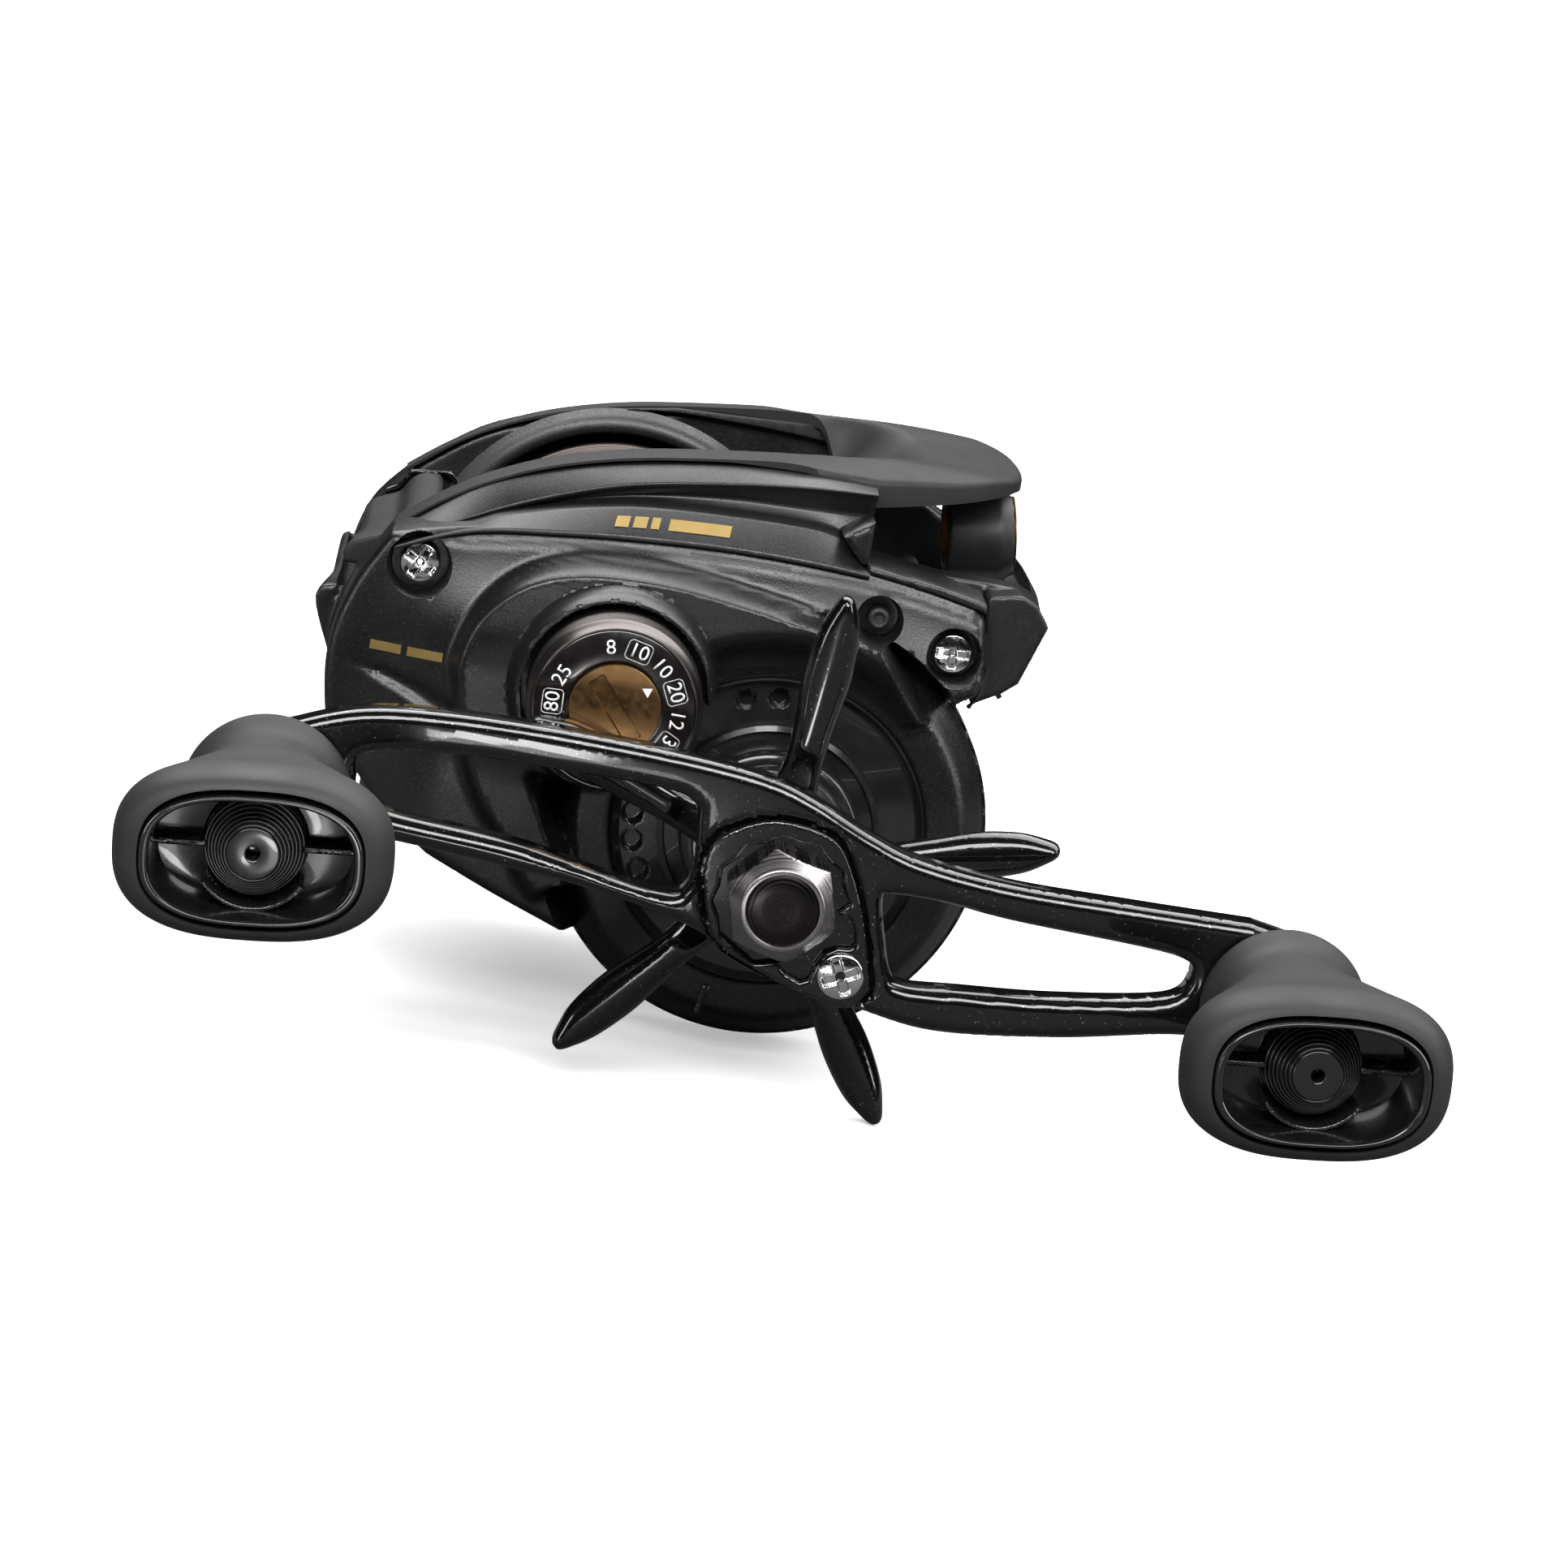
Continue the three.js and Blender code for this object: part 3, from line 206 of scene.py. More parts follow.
def finish_piece(name, mesh, body, slot, replaces=(), sharp=None, look=None):
    bm = bmesh.new()
    bm.from_mesh(mesh)
    bmesh.ops.remove_doubles(bm, verts=bm.verts, dist=1e-7)
    bmesh.ops.recalc_face_normals(bm, faces=bm.faces)
    for face in bm.faces:
        face.smooth = True
    if sharp:
        limit = math.radians(sharp)
        for edge in bm.edges:
            edge.smooth = len(edge.link_faces) != 2 or edge.calc_face_angle() < limit
    bm.to_mesh(mesh)
    bm.free()
    mesh.materials.clear()
    mesh.materials.append(LOOKS[look or slot])
    obj = bpy.data.objects.new(name, mesh)
    bpy.context.collection.objects.link(obj)
    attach(obj, body)
    if replaces:
        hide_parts(*replaces)
    return obj


def rounded(profile, radius=0.25, steps=3):
    """A profile whose corners are eased, so that its edges catch the light."""
    p = [np.array(q, dtype=float) for q in profile]
    out = [p[0]]
    for before, here, after in zip(p, p[1:], p[2:]):
        back, on = before - here, after - here
        lengths = np.linalg.norm(back), np.linalg.norm(on)
        reach = min(radius, 0.45 * min(lengths))
        a = here + back / max(lengths[0], 1e-9) * reach
        b = here + on / max(lengths[1], 1e-9) * reach
        for i in range(steps + 1):
            t = i / steps
            out.append((1 - t) ** 2 * a + 2 * t * (1 - t) * here + t * t * b)
    return [*out, p[-1]]


def grid(rows):
    """Verts and quads of a net of rows of points; each row is a ring."""
    count = len(rows[0])
    verts = np.concatenate(rows)
    faces = [
        (r * count + i, r * count + (i + 1) % count,
         (r + 1) * count + (i + 1) % count, (r + 1) * count + i)
        for r in range(len(rows) - 1)
        for i in range(count)
    ]
    return verts, faces


def turned_rows(at, profile, segments=96, warp=None):
    """Rings of a profile turned about a Y axis; `warp(r, y, angle)` may change r and y."""
    angle = np.linspace(0, 2 * np.pi, segments, endpoint=False)
    rows = []
    for r, y in profile:
        radius, height = np.full(segments, float(r)), np.full(segments, float(y))
        if warp:
            radius, height = warp(radius, height, angle)
        x, z = at[0] + radius * np.cos(angle), at[1] + radius * np.sin(angle)
        rows.append(np.stack([x, height, z], axis=1))
    return rows


def turned(name, at, profile, body, slot, replaces=(), segments=96, ease=0.2, warp=None, sharp=40,
           look=None):
    shape = rounded(profile, ease) if ease else profile
    verts, faces = grid(turned_rows(at, shape, segments, warp))
    return piece(name, verts, faces, body, slot, replaces, sharp, look)


def quarter_round(along):
    """How far a quarter round of radius 1 has still to rise, from 1 at its foot to 0 at its top."""
    u = np.clip(along, 0, 1)
    return 1 - np.sqrt(np.clip(1 - (1 - u) ** 2, 0, 1))


def from_edges(points, loops):
    """Distance from points to the nearest edge: the first loop is the outside, the others are holes."""
    nearest = edge_distance(points, loops[0])
    for hole in loops[1:]:
        nearest = np.minimum(nearest, -edge_distance(points, hole))
    return nearest


def eased(points, loops, ease):
    """How far an edge eased by `ease` falls away at each point."""
    return ease * quarter_round(from_edges(points, loops) / ease)


def insets(loops, distances):
    """Feature lines along each loop, at distances into the plate."""
    sides = [1] + [-1] * (len(loops) - 1)
    return [inset(loop, side * d) for loop, side in zip(loops, sides) for d in distances]


def relief_mesh(loops, feature_lines, grain, front, back):
    """A plate between y = front(points) and y = back(points), meshed along its feature lines."""
    edges, chains, cloud = [], [], []
    for loop in loops:
        loop = resample(loop, grain)
        start = len(cloud)
        cloud += list(loop)
        chains.append(loop)
        edges += [(start + i, start + (i + 1) % len(loop)) for i in range(len(loop))]
    low, high = np.min(chains[0], axis=0), np.max(chains[0], axis=0)
    xs = np.arange(low[0], high[0], grain)
    zs = np.arange(low[1], high[1], grain)
    lattice = np.stack(np.meshgrid(xs, zs), axis=-1).reshape(-1, 2)
    lattice[:, 0] += np.where(((lattice[:, 1] - low[1]) / grain).round() % 2, grain / 2, 0)
    kept = []
    feature_points = np.concatenate([*feature_lines, lattice[:1]])
    for extra, cell in ((feature_points, FINE), (lattice, grain * 0.45)):
        clear = from_edges(extra, chains)
        taken = {(round(x / cell), round(z / cell)) for x, z in kept}
        for point in extra[clear > cell * 0.4]:
            key = (round(point[0] / cell), round(point[1] / cell))
            if key not in taken:
                taken.add(key)
                kept.append(point)
    cloud = np.array([*cloud, *kept])
    verts, _, tris, *_ = delaunay_2d_cdt([Vector(p) for p in cloud], edges, [], 0, 1e-6)
    flat = np.array([tuple(v) for v in verts])
    tris = np.array([t for t in tris if len(t) == 3])
    tris = tris[from_edges(flat[tris].mean(axis=1), chains) > 0]
    count = len(flat)
    near = np.stack([flat[:, 0], front(flat), flat[:, 1]], axis=1)
    far = np.stack([flat[:, 0], back(flat), flat[:, 1]], axis=1)
    seen = {}
    for a, b, c in tris:
        for edge in ((a, b), (b, c), (c, a)):
            key = tuple(sorted(edge))
            seen[key] = None if key in seen else edge
    walls = [(a, b, b + count, a + count) for a, b in (e for e in seen.values() if e)]
    faces = [tuple(t) for t in tris.tolist()]
    faces += [(a + count, c + count, b + count) for a, b, c in tris.tolist()]
    faces += [tuple(int(i) for i in wall) for wall in walls]
    return np.concatenate([near, far]), faces


def plate(name, loops, y_front, y_back, ease, body, slot, replaces=(), grain=0.6, bend=None,
          place=None, sharp=50, drop=None):
    """A plate with eased edges.

    `bend(points)` shifts it in y, `drop(points)` lowers its front only, and `place(loop)` puts it
    in the frame.
    """
    shift = bend or (lambda points: 0)
    sink = drop or (lambda points: 0)
    verts, faces = relief_mesh(
        loops, insets(loops, [step * ease for step in EASE_STEPS]), grain,
        lambda p: y_front + eased(p, loops, ease) + shift(p) + sink(p),
        lambda p: y_back - eased(p, loops, ease) + shift(p),
    )
    if place:
        verts[:, [0, 2]] = place(verts[:, [0, 2]])
    return piece(name, verts, faces, body, slot, replaces, sharp)


# ---- Cast parts: solids joined, cut and softened ----
def temp_object(verts, faces):
    mesh = bpy.data.meshes.new("temp")
    mesh.from_pydata((np.asarray(verts, dtype=float) * MM).tolist(), [], faces)
    bm = bmesh.new()
    bm.from_mesh(mesh)
    bmesh.ops.remove_doubles(bm, verts=bm.verts, dist=1e-8)
    bmesh.ops.triangulate(bm, faces=bm.faces)
    bmesh.ops.recalc_face_normals(bm, faces=bm.faces)
    bm.to_mesh(mesh)
    bm.free()
    obj = bpy.data.objects.new("temp", mesh)
    bpy.context.collection.objects.link(obj)
    return obj


def extruded(ends):
    """A solid between two loops of points in space."""
    n = len(ends[0])
    verts, faces = grid(ends)
    return temp_object(verts, [*faces, tuple(range(n)), tuple(range(2 * n - 1, n - 1, -1))])


def slab(loop, y0, y1):
    """A loop drawn in x and z, extruded along Y."""
    return extruded([np.insert(loop, 1, y, axis=1) for y in (y0, y1)])


def upright(loop, z0, z1):
    """A loop drawn in x and y, extruded along Z."""
    return extruded([np.insert(loop, 2, z, axis=1) for z in (z0, z1)])


def block(x0, x1, y0, y1, z0, z1):
    return slab(np.array([[x0, z0], [x1, z0], [x1, z1], [x0, z1]], dtype=float), y0, y1)


def rod(at, r, y0, y1, segments=72):
    return slab(ring(at, r, segments), y0, y1)


def lathe(at, profile, segments=96):
    """A closed solid turned from a profile whose two ends are on the axis."""
    inner = [q for q in profile if q[0] > 1e-6]
    verts, faces = grid(turned_rows(at, inner, segments))
    n = segments
    last = len(verts)
    return temp_object(verts, [*faces, tuple(range(n)), tuple(range(last - 1, last - n - 1, -1))])


def tube(at, r_in, r_out, y0, y1, segments=72):
    rows = turned_rows(at, [(r_in, y0), (r_out, y0), (r_out, y1), (r_in, y1), (r_in, y0)], segments)
    return temp_object(*grid(rows))


def evaluated_mesh(obj):
    """The mesh that an object's modifiers or text make."""
    return bpy.data.meshes.new_from_object(obj.evaluated_get(bpy.context.evaluated_depsgraph_get()))


def combined(adds, cuts):
    """The first solid with modifiers that join the other adds to it and take off the cuts."""
    base = adds[0]
    tools = [("UNION", o) for o in adds[1:]] + [("DIFFERENCE", o) for o in cuts]
    for operation, tool in tools:
        modifier = base.modifiers.new(operation, "BOOLEAN")
        modifier.operation = operation
        modifier.solver = "MANIFOLD"
        modifier.object = tool
    return base, [o for _, o in tools]


def cast(name, adds, cuts, body, slot, replaces, voxel=0.28, soften=4, shape=None):
    """Solids combined and then softened as one casting. `shape(verts)` reshapes the result."""
    base, tools = combined(adds, cuts)
    remesh = base.modifiers.new("remesh", "REMESH")
    remesh.mode = "VOXEL"
    remesh.voxel_size = voxel * MM
    smooth = base.modifiers.new("smooth", "SMOOTH")
    smooth.factor = 0.5
    smooth.iterations = soften
    mesh = evaluated_mesh(base)
    for obj in (base, *tools):
        bpy.data.objects.remove(obj)
    mesh.name = name
    if shape:
        flat = np.empty(len(mesh.vertices) * 3)
        mesh.vertices.foreach_get("co", flat)
        mesh.vertices.foreach_set("co", (shape(flat.reshape(-1, 3) / MM) * MM).ravel())
    return finish_piece(name, mesh, body, slot, replaces)


# ---- Materials ----
LOOKS = {}  # every material under the name that it is made with


def material(name, color, roughness, metallic=0.0, **more):
    """Makes a material and gives its tree, its shader and an object-space coordinate."""
    mat = LOOKS[name] = bpy.data.materials.new(name)
    mat.use_nodes = True
    tree = mat.node_tree
    shader = tree.nodes["Principled BSDF"]
    values = {"Base Color": (*color, 1), "Roughness": roughness, "Metallic": metallic, **more}
    for key, value in values.items():
        shader.inputs[key].default_value = value
    where = tree.nodes.new("ShaderNodeTexCoord").outputs["Object"]
    return tree, shader, where


def wire(tree, kind, inputs, **settings):
    """A node whose inputs are set from values or from other nodes' outputs."""
    made = tree.nodes.new(kind)
    for key, value in settings.items():
        setattr(made, key, value)
    for key, value in inputs.items():
        if isinstance(value, bpy.types.NodeSocket):
            tree.links.new(value, made.inputs[key])
        else:
            made.inputs[key].default_value = value
    return made


def noise(tree, where, size_mm, detail=2.0, **more):
    inputs = {"Vector": where, "Scale": 1 / (size_mm * MM), "Detail": detail, **more}
    return wire(tree, "ShaderNodeTexNoise", inputs).outputs["Fac"]


def remap(tree, value, from_low, from_high, to_low, to_high):
    inputs = {"Value": value, "From Min": from_low, "From Max": from_high,
              "To Min": to_low, "To Max": to_high}
    return wire(tree, "ShaderNodeMapRange", inputs).outputs["Result"]


def bump(tree, shader, height, strength, distance_mm, socket="Normal"):
    inputs = {"Height": height, "Strength": strength, "Distance": distance_mm * MM}
    out = wire(tree, "ShaderNodeBump", inputs).outputs["Normal"]
    tree.links.new(out, shader.inputs[socket])


def maths(tree, operation, *values):
    inputs = dict(enumerate(values))
    return wire(tree, "ShaderNodeMath", inputs, operation=operation).outputs["Value"]


def vector_maths(tree, operation, *values):
    return wire(tree, "ShaderNodeVectorMath", dict(enumerate(values)), operation=operation).outputs


def vary_roughness(tree, shader, fac, low, high, smoothest, roughest):
    """Roughness that runs from smoothest to roughest as fac runs from low to high."""
    tree.links.new(remap(tree, fac, low, high, smoothest, roughest), shader.inputs["Roughness"])


def tint(tree, shader, fac, dark, light):
    """Base colour that runs from dark to light with fac."""
    mix = wire(tree, "ShaderNodeMix", {"Factor": fac}, data_type="RGBA")
    mix.inputs["A"].default_value = (*dark, 1)
    mix.inputs["B"].default_value = (*light, 1)
    tree.links.new(mix.outputs["Result"], shader.inputs["Base Color"])


def paint(name, color, roughness, grain_mm=0.17, grain=0.3, fleck=0.0, **more):
    """Sprayed paint with a fine metallic grit that breaks up its highlights."""
    tree, shader, where = material(name, color, roughness, **more)
    grit = noise(tree, where, grain_mm, 1.0)
    bump(tree, shader, grit, grain, 0.05)
    wear = noise(tree, where, 7, 3.0)
    uneven = maths(tree, "ADD", grit, wear)
    vary_roughness(tree, shader, uneven, 0.7, 1.3, roughness - 0.1, roughness + 0.1)
    dots = wire(tree, "ShaderNodeTexVoronoi", {"Vector": where, "Scale": 1 / (0.3 * MM)})
    spots = remap(tree, dots.outputs["Distance"], 0.04, 0.14, fleck, 0.0)
    tint(tree, shader, spots, color, (0.5, 0.5, 0.5))


def flake_gloss(name, color):
    """Gloss black over a fine metallic flake."""
    tree, shader, where = material(
        name, color, 0.2, 0.65, **{"Coat Weight": 1.0, "Coat Roughness": 0.06}
    )
    cells = wire(tree, "ShaderNodeTexVoronoi", {"Vector": where, "Scale": 1 / (0.11 * MM)})
    sparkle = remap(tree, cells.outputs["Color"], 0.9, 0.97, 0.0, 1.0)
    tint(tree, shader, sparkle, color, (0.3, 0.25, 0.24))
    wobble = noise(tree, where, 0.14)
    bump(tree, shader, wobble, 0.3, 0.02)
    bump(tree, shader, noise(tree, where, 2.2, 3.0), 0.12, 0.06, "Coat Normal")


def plastic(name, color, roughness, **more):
    """Moulded plastic: soft mottle and hairline scuffs."""
    tree, shader, where = material(name, color, roughness, **more)
    bump(tree, shader, noise(tree, where, 0.25, 3.0), 0.1, 0.03)
    scuff = noise(tree, where, 1.6, 6.0)
    vary_roughness(tree, shader, scuff, 0.35, 0.75, roughness - 0.04, roughness + 0.1)
    tint(tree, shader, noise(tree, where, 3, 2.0), color, tuple(c * 1.35 for c in color))


def rubber(name, color):
    tree, shader, where = material(name, color, 0.6)
    bump(tree, shader, noise(tree, where, 0.16, 4.0), 0.22, 0.05)
    vary_roughness(tree, shader, noise(tree, where, 9, 2.0), 0.3, 0.7, 0.52, 0.7)
    tint(tree, shader, noise(tree, where, 0.5, 3.0), color, tuple(c * 1.5 for c in color))


def turned_metal(name, color, roughness, at, groove=0.25, pitch_mm=0.09):
    """Metal turned about a Y axis: fine rings, and sheen that varies with radius."""
    tree, shader, where = material(name, color, roughness, 1.0)
    centre = (at[0] * MM, 0.0, at[1] * MM)
    offset = vector_maths(tree, "SUBTRACT", where, centre)[0]
    flat = vector_maths(tree, "MULTIPLY", offset, (1, 0, 1))[0]
    radius = vector_maths(tree, "LENGTH", flat)["Value"]
    inputs = {"W": radius, "Scale": 1 / (pitch_mm * MM), "Detail": 2.0}
    rings = wire(tree, "ShaderNodeTexNoise", inputs, noise_dimensions="1D").outputs["Fac"]
    bump(tree, shader, rings, groove, 0.02)
    vary_roughness(tree, shader, rings, 0.3, 0.7, roughness - 0.06, roughness + 0.1)


def machined(name, color, roughness, metallic=1.0):
    """Plain machined or moulded metal with fine scratches and a little tarnish."""
    tree, shader, where = material(name, color, roughness, metallic)
    stretch = wire(tree, "ShaderNodeMapping", {"Vector": where, "Scale": (1, 14, 1)})
    scratch = noise(tree, stretch.outputs["Vector"], 0.7, 6.0)
    bump(tree, shader, scratch, 0.12, 0.02)
    vary_roughness(tree, shader, scratch, 0.35, 0.7, roughness - 0.05, roughness + 0.12)
    tint(tree, shader, noise(tree, where, 2.5, 3.0), tuple(c * 0.8 for c in color), color)


def glossy(coat):
    return {"Coat Weight": coat}


paint("frame_black", (0.006, 0.006, 0.0065), 0.38, fleck=0.2)
paint("cover_black", (0.005, 0.005, 0.0053), 0.35, fleck=0.2)
paint("hood_black", (0.013, 0.013, 0.0135), 0.56, 0.12, 0.2, 0.08, **{"Specular IOR Level": 0.32})
flake_gloss("gloss_black", (0.0075, 0.0065, 0.0065))
rubber("grip_rubber", (0.009, 0.009, 0.0093))
plastic("insert_gloss", (0.005, 0.0048, 0.005), 0.22, **glossy(0.6))
plastic("well_black", (0.01, 0.01, 0.0105), 0.2, **glossy(0.4))
turned_metal("gunmetal", (0.12, 0.108, 0.104), 0.3, SPOOL)
turned_metal("nut_metal", (0.34, 0.32, 0.32), 0.26, DRIVE, 0.4, 0.14)
turned_metal("disc_metal", (0.035, 0.03, 0.03), 0.24, DRIVE, 0.6, 0.2)
turned_metal("spool_metal", (0.042, 0.035, 0.032), 0.3, SPOOL)
turned_metal("bright_ring", (0.4, 0.38, 0.36), 0.25, DRIVE)
plastic("dial_black", (0.007, 0.0055, 0.0055), 0.16, **glossy(0.5))
machined("bronze", (0.27, 0.155, 0.065), 0.34)
machined("brass", (0.55, 0.4, 0.17), 0.3)
machined("steel", (0.5, 0.5, 0.51), 0.26)
machined("chrome", (0.78, 0.78, 0.79), 0.1)
plastic("inner_plastic", (0.012, 0.012, 0.012), 0.45)
plastic("white_print", (0.72, 0.72, 0.7), 0.5)
machined("gold_print", (0.36, 0.25, 0.085), 0.38, 0.7)

for part in frame["record"]["subparts"]:
    node = frame["nodes"][part["node"]]
    node.data.materials.clear()
    node.data.materials.append(LOOKS[part["material_slot"]])

# ---- Outlines shared by several pieces ----
REAR_EDGE = [(-25.9, 10.8), (-27.2, 16), (-27.2, 21), (-25.6, 26.4), (-22.3, 30.5)]
FRAME_TOP = [(-15.6, 35.4), (-8.7, 38.2), (-1.1, 40), (8.4, 41.4), (16.2, 41.7), (22.3, 41.2)]
RIDGE = [(-15.5, 33), (-6.4, 34.2), (1.3, 34.7), (9.1, 35), (17, 34.8), (25, 34.2), (33.6, 32.6)]
NOSE_FRONT = [(39.7, 32.9), (41.2, 30.9), (39.2, 24.9), (37.7, 23.7), (34.4, 21.9)]
PLATE_REAR = [(-20.2, 4.5), (-22.7, 7.5)]
PALM_PLATE = outline(
    *PLATE_REAR, REAR_EDGE, FRAME_TOP, (22.9, 39.3), [(28, 37), (33.5, 34)], (38.2, 33.6),
    *NOSE_FRONT, [(30, 8), (22, 1), (10, -2), (-8, -2)],
)
FOOT_SCREW_X = (-13, 13)
FOOT_SCREW_HOLE_R = 1.2


# ---- Frame ----
def bowed(verts):
    """The bars between the side plates are bowed: the rear one in and the nose out."""
    x, y = verts[:, 0], verts[:, 1]
    back = -27.2
    pulled = back + (x - back) * (1 - 0.55 * smoothstep(y, -15.5, -3))
    pushed = 0.6 * smoothstep(y, -15.5, -3) * (1 - smoothstep(y, 3, 15.5)) * smoothstep(x, 35, 39)
    verts[:, 0] = np.where(x < back, pulled, x + pushed)
    return verts


def build_frame():
    handle_plate = outline(
        *PLATE_REAR, REAR_EDGE, FRAME_TOP, (22.9, 39.3), (19.5, 37.5), (21.8, 35), (30, 33.8),
        (38.2, 33.6), *NOSE_FRONT, (20, -12), (1, -5.6), (-3, -3.9), (-8.8, -1.7), (-15.8, 1.2),
    )
    rear_bar = outline(
        (-21.3, 12.4), (-25.6, 11.4), [(-27.2, 16.2), (-28.7, 19.7), (-29.4, 22.0), (-28.9, 23.2),
                                       (-27.4, 23.6)], (-27.4, 21.4), (-21.3, 21.4),
    )
    front_bar = outline((38.2, 33.6), *NOSE_FRONT, (29.5, 21.3), (31, 27))
    cap = outline((34.9, 33), (38.2, 33.6), *NOSE_FRONT, (35, 21.6),
                  [(35.5, 25.3), (35.2, 28.5), (34.7, 31.5)])
    cap_out = -20.8
    socket = -19.4  # the floor that the front screw's post and the worm's end stand on
    adds = [
        slab(handle_plate, -PLATE_OUT, -PLATE_IN),
        rod(DRIVE, HOUSING_R - 0.2, -PLATE_OUT, -PLATE_IN, 120),
        slab(PALM_PLATE, PLATE_IN, PLATE_OUT),
        slab(rear_bar, -PLATE_IN - 1, PLATE_IN + 1),
        slab(front_bar, -PLATE_IN - 1, PLATE_IN + 1),
        slab(cap, cap_out, -PLATE_OUT + 1),
        rod(FRONT_SCREW, 2.2, -21, socket),
        block(FRONT_SCREW[0], 36, cap_out, socket, 26.2, 29),
        tube(SPOOL, SPOOL_ROOM_R, SPOOL_ROOM_R + 2, -PLATE_IN - 1, PLATE_IN + 1, 120),
        *(block(x - 2.6, x + 2.6, -4, 4, FOOT_TOP, 9) for x in FOOT_SCREW_X),
    ]
    cuts = [
        block(-21, 29.4, -PLATE_IN, 12.6, 12, 45),
        block(-30, 30, -PLATE_IN, PLATE_IN, -10, FOOT_TOP),
        rod(WORM, 3.9, -PLATE_IN, PLATE_IN),
        block(27, 38.6, -PLATE_IN, PLATE_IN, WORM[1], 40),
        block(27, 40, -PLATE_IN, PLATE_IN, 30.6, 40),
        block(27, WORM[0], -PLATE_IN, PLATE_IN, 23.6, 40),
        rod(SPOOL, SPOOL_ROOM_R, -PLATE_IN, PLATE_OUT + 1, 120),
        rod(SPOOL, 5.2, -PLATE_OUT - 1, -PLATE_IN + 1),
        rod(DRIVE, 4.8, -PLATE_OUT - 1, -PLATE_IN - 1),
        rod(WORM, 2.2, -PLATE_OUT - 1, PLATE_OUT - 1),
        rod(WORM, 4.3, socket, -PLATE_OUT - 0.01),
        rod(REAR_SCREW, 1.1, -PLATE_OUT - 1, -PLATE_IN - 0.8),
        rod(FRONT_SCREW, 1.1, -22, socket),
        block(-23.2, -21.2, -PLATE_OUT - 1, -PLATE_IN + 1, 22.6, 28.1),
    ]
    cast("cast_frame", adds, cuts, "body", "frame_black", ["frame"], shape=bowed)


# The shoulder above the cover, as curves along X: each is [x, z] points at its own y.
PARTING = [(-22.4, 30.6), (-15.6, 35.5), (-8.7, 38.3), (-1.1, 40.2), (8.4, 41.5), (16.2, 41.8),
           (22.8, 41.5)]
CREST = [(-22.6, 30.3), (-15.6, 33.3), (-8.4, 36.3), (-0.9, 38.6), (8.5, 40.1), (16.2, 40.9),
         (22.8, 41.2)]
GROOVE = [(-22.8, 30.0), (-15.4, 32.9), (-8.4, 35.4), (-0.9, 37.3), (8.5, 38.4), (16.2, 38.6),
          (22.8, 38.9)]
PRINT_EDGE = [(-23.0, 29.9), (-15.4, 32.9), (-12.1, 34.2), (-4.5, 36.1), (3.3, 37.1), (17.5, 37.2),
              (22.8, 35.2)]
RIDGE_LINE = [(-23.2, 29.8), (-15.5, 32.75), (-6.4, 33.9), (1.3, 34.45), (9.1, 34.7), (17, 34.5),
              (22.8, 34.1)]
BAND_OUT = -24.9  # the y of the shoulder's foot, at the ridge
SHOULDER_IN = -16.0


def along(curve, xs):
    fine = np.array(spline(curve, 12))
    return np.interp(xs, fine[:, 0], fine[:, 1])


def build_shoulder():
    """A rib that faces up, a dark groove under it, and a sloping band down to the ridge."""
    xs = np.linspace(-22.4, 22.75, 220)
    open_up = smoothstep(xs, -22, -12)  # the shoulder starts as an edge at the rear
    parting, crest, groove, edge, ridge = (
        along(c, xs) for c in (PARTING, CREST, GROOVE, PRINT_EDGE, RIDGE_LINE)
    )
    rows = []
    for i, x in enumerate(xs):
        k = open_up[i]
        section = rounded([
            (SHOULDER_IN, parting[i] - 0.2), (-17.3, parting[i] - 0.05),
            (-20.3 - 1.9 * (1 - k), crest[i]), (-19.9 - 2.3 * (1 - k), crest[i] - 0.5 * k),
            (-18.9 - 3.4 * (1 - k), groove[i]), (-19.6 - 2.8 * (1 - k), edge[i] + 0.25),
            (-21.9 - 1.2 * (1 - k), edge[i]), (BAND_OUT, ridge[i] + 0.12),
            (BAND_OUT, ridge[i] - 0.35), (SHOULDER_IN, ridge[i] - 0.35),
        ], 0.3)
        rows.append(np.array([(x, y, z) for y, z in section]))
    verts, faces = grid(rows)
    n = len(rows[0])
    faces += [tuple(range(n)), tuple(range(len(verts) - 1, len(verts) - n - 1, -1))]
    piece("shoulder", verts, faces, "body", "frame_black", (), 75)
    notch = outline((22.5, 39.2), (19.7, 37.4), (21.9, 35.0), (30, 33.9), (34.4, 32.9), (34.6, 31.9),
                    (30, 33.0), (22.5, 34.2))
    plate("shoulder_toe", [notch], -24.6, -16.5, 0.35, "body", "frame_black", grain=0.5)


def build_arch():
    """The smooth lip round the hole that the spool comes out of."""
    lip = spline([(20.2, 12.75), (19.5, 12.45), (18.8, 12.05), (18.1, 11.95), (17.65, 12.3),
                  (SPOOL_ROOM_R, 13.2)], 4)
    turned("spool_arch", SPOOL, [*lip, (SPOOL_ROOM_R, 14.5)], "body", "frame_black", (), 240, 0)


build_frame()
build_shoulder()
build_arch()


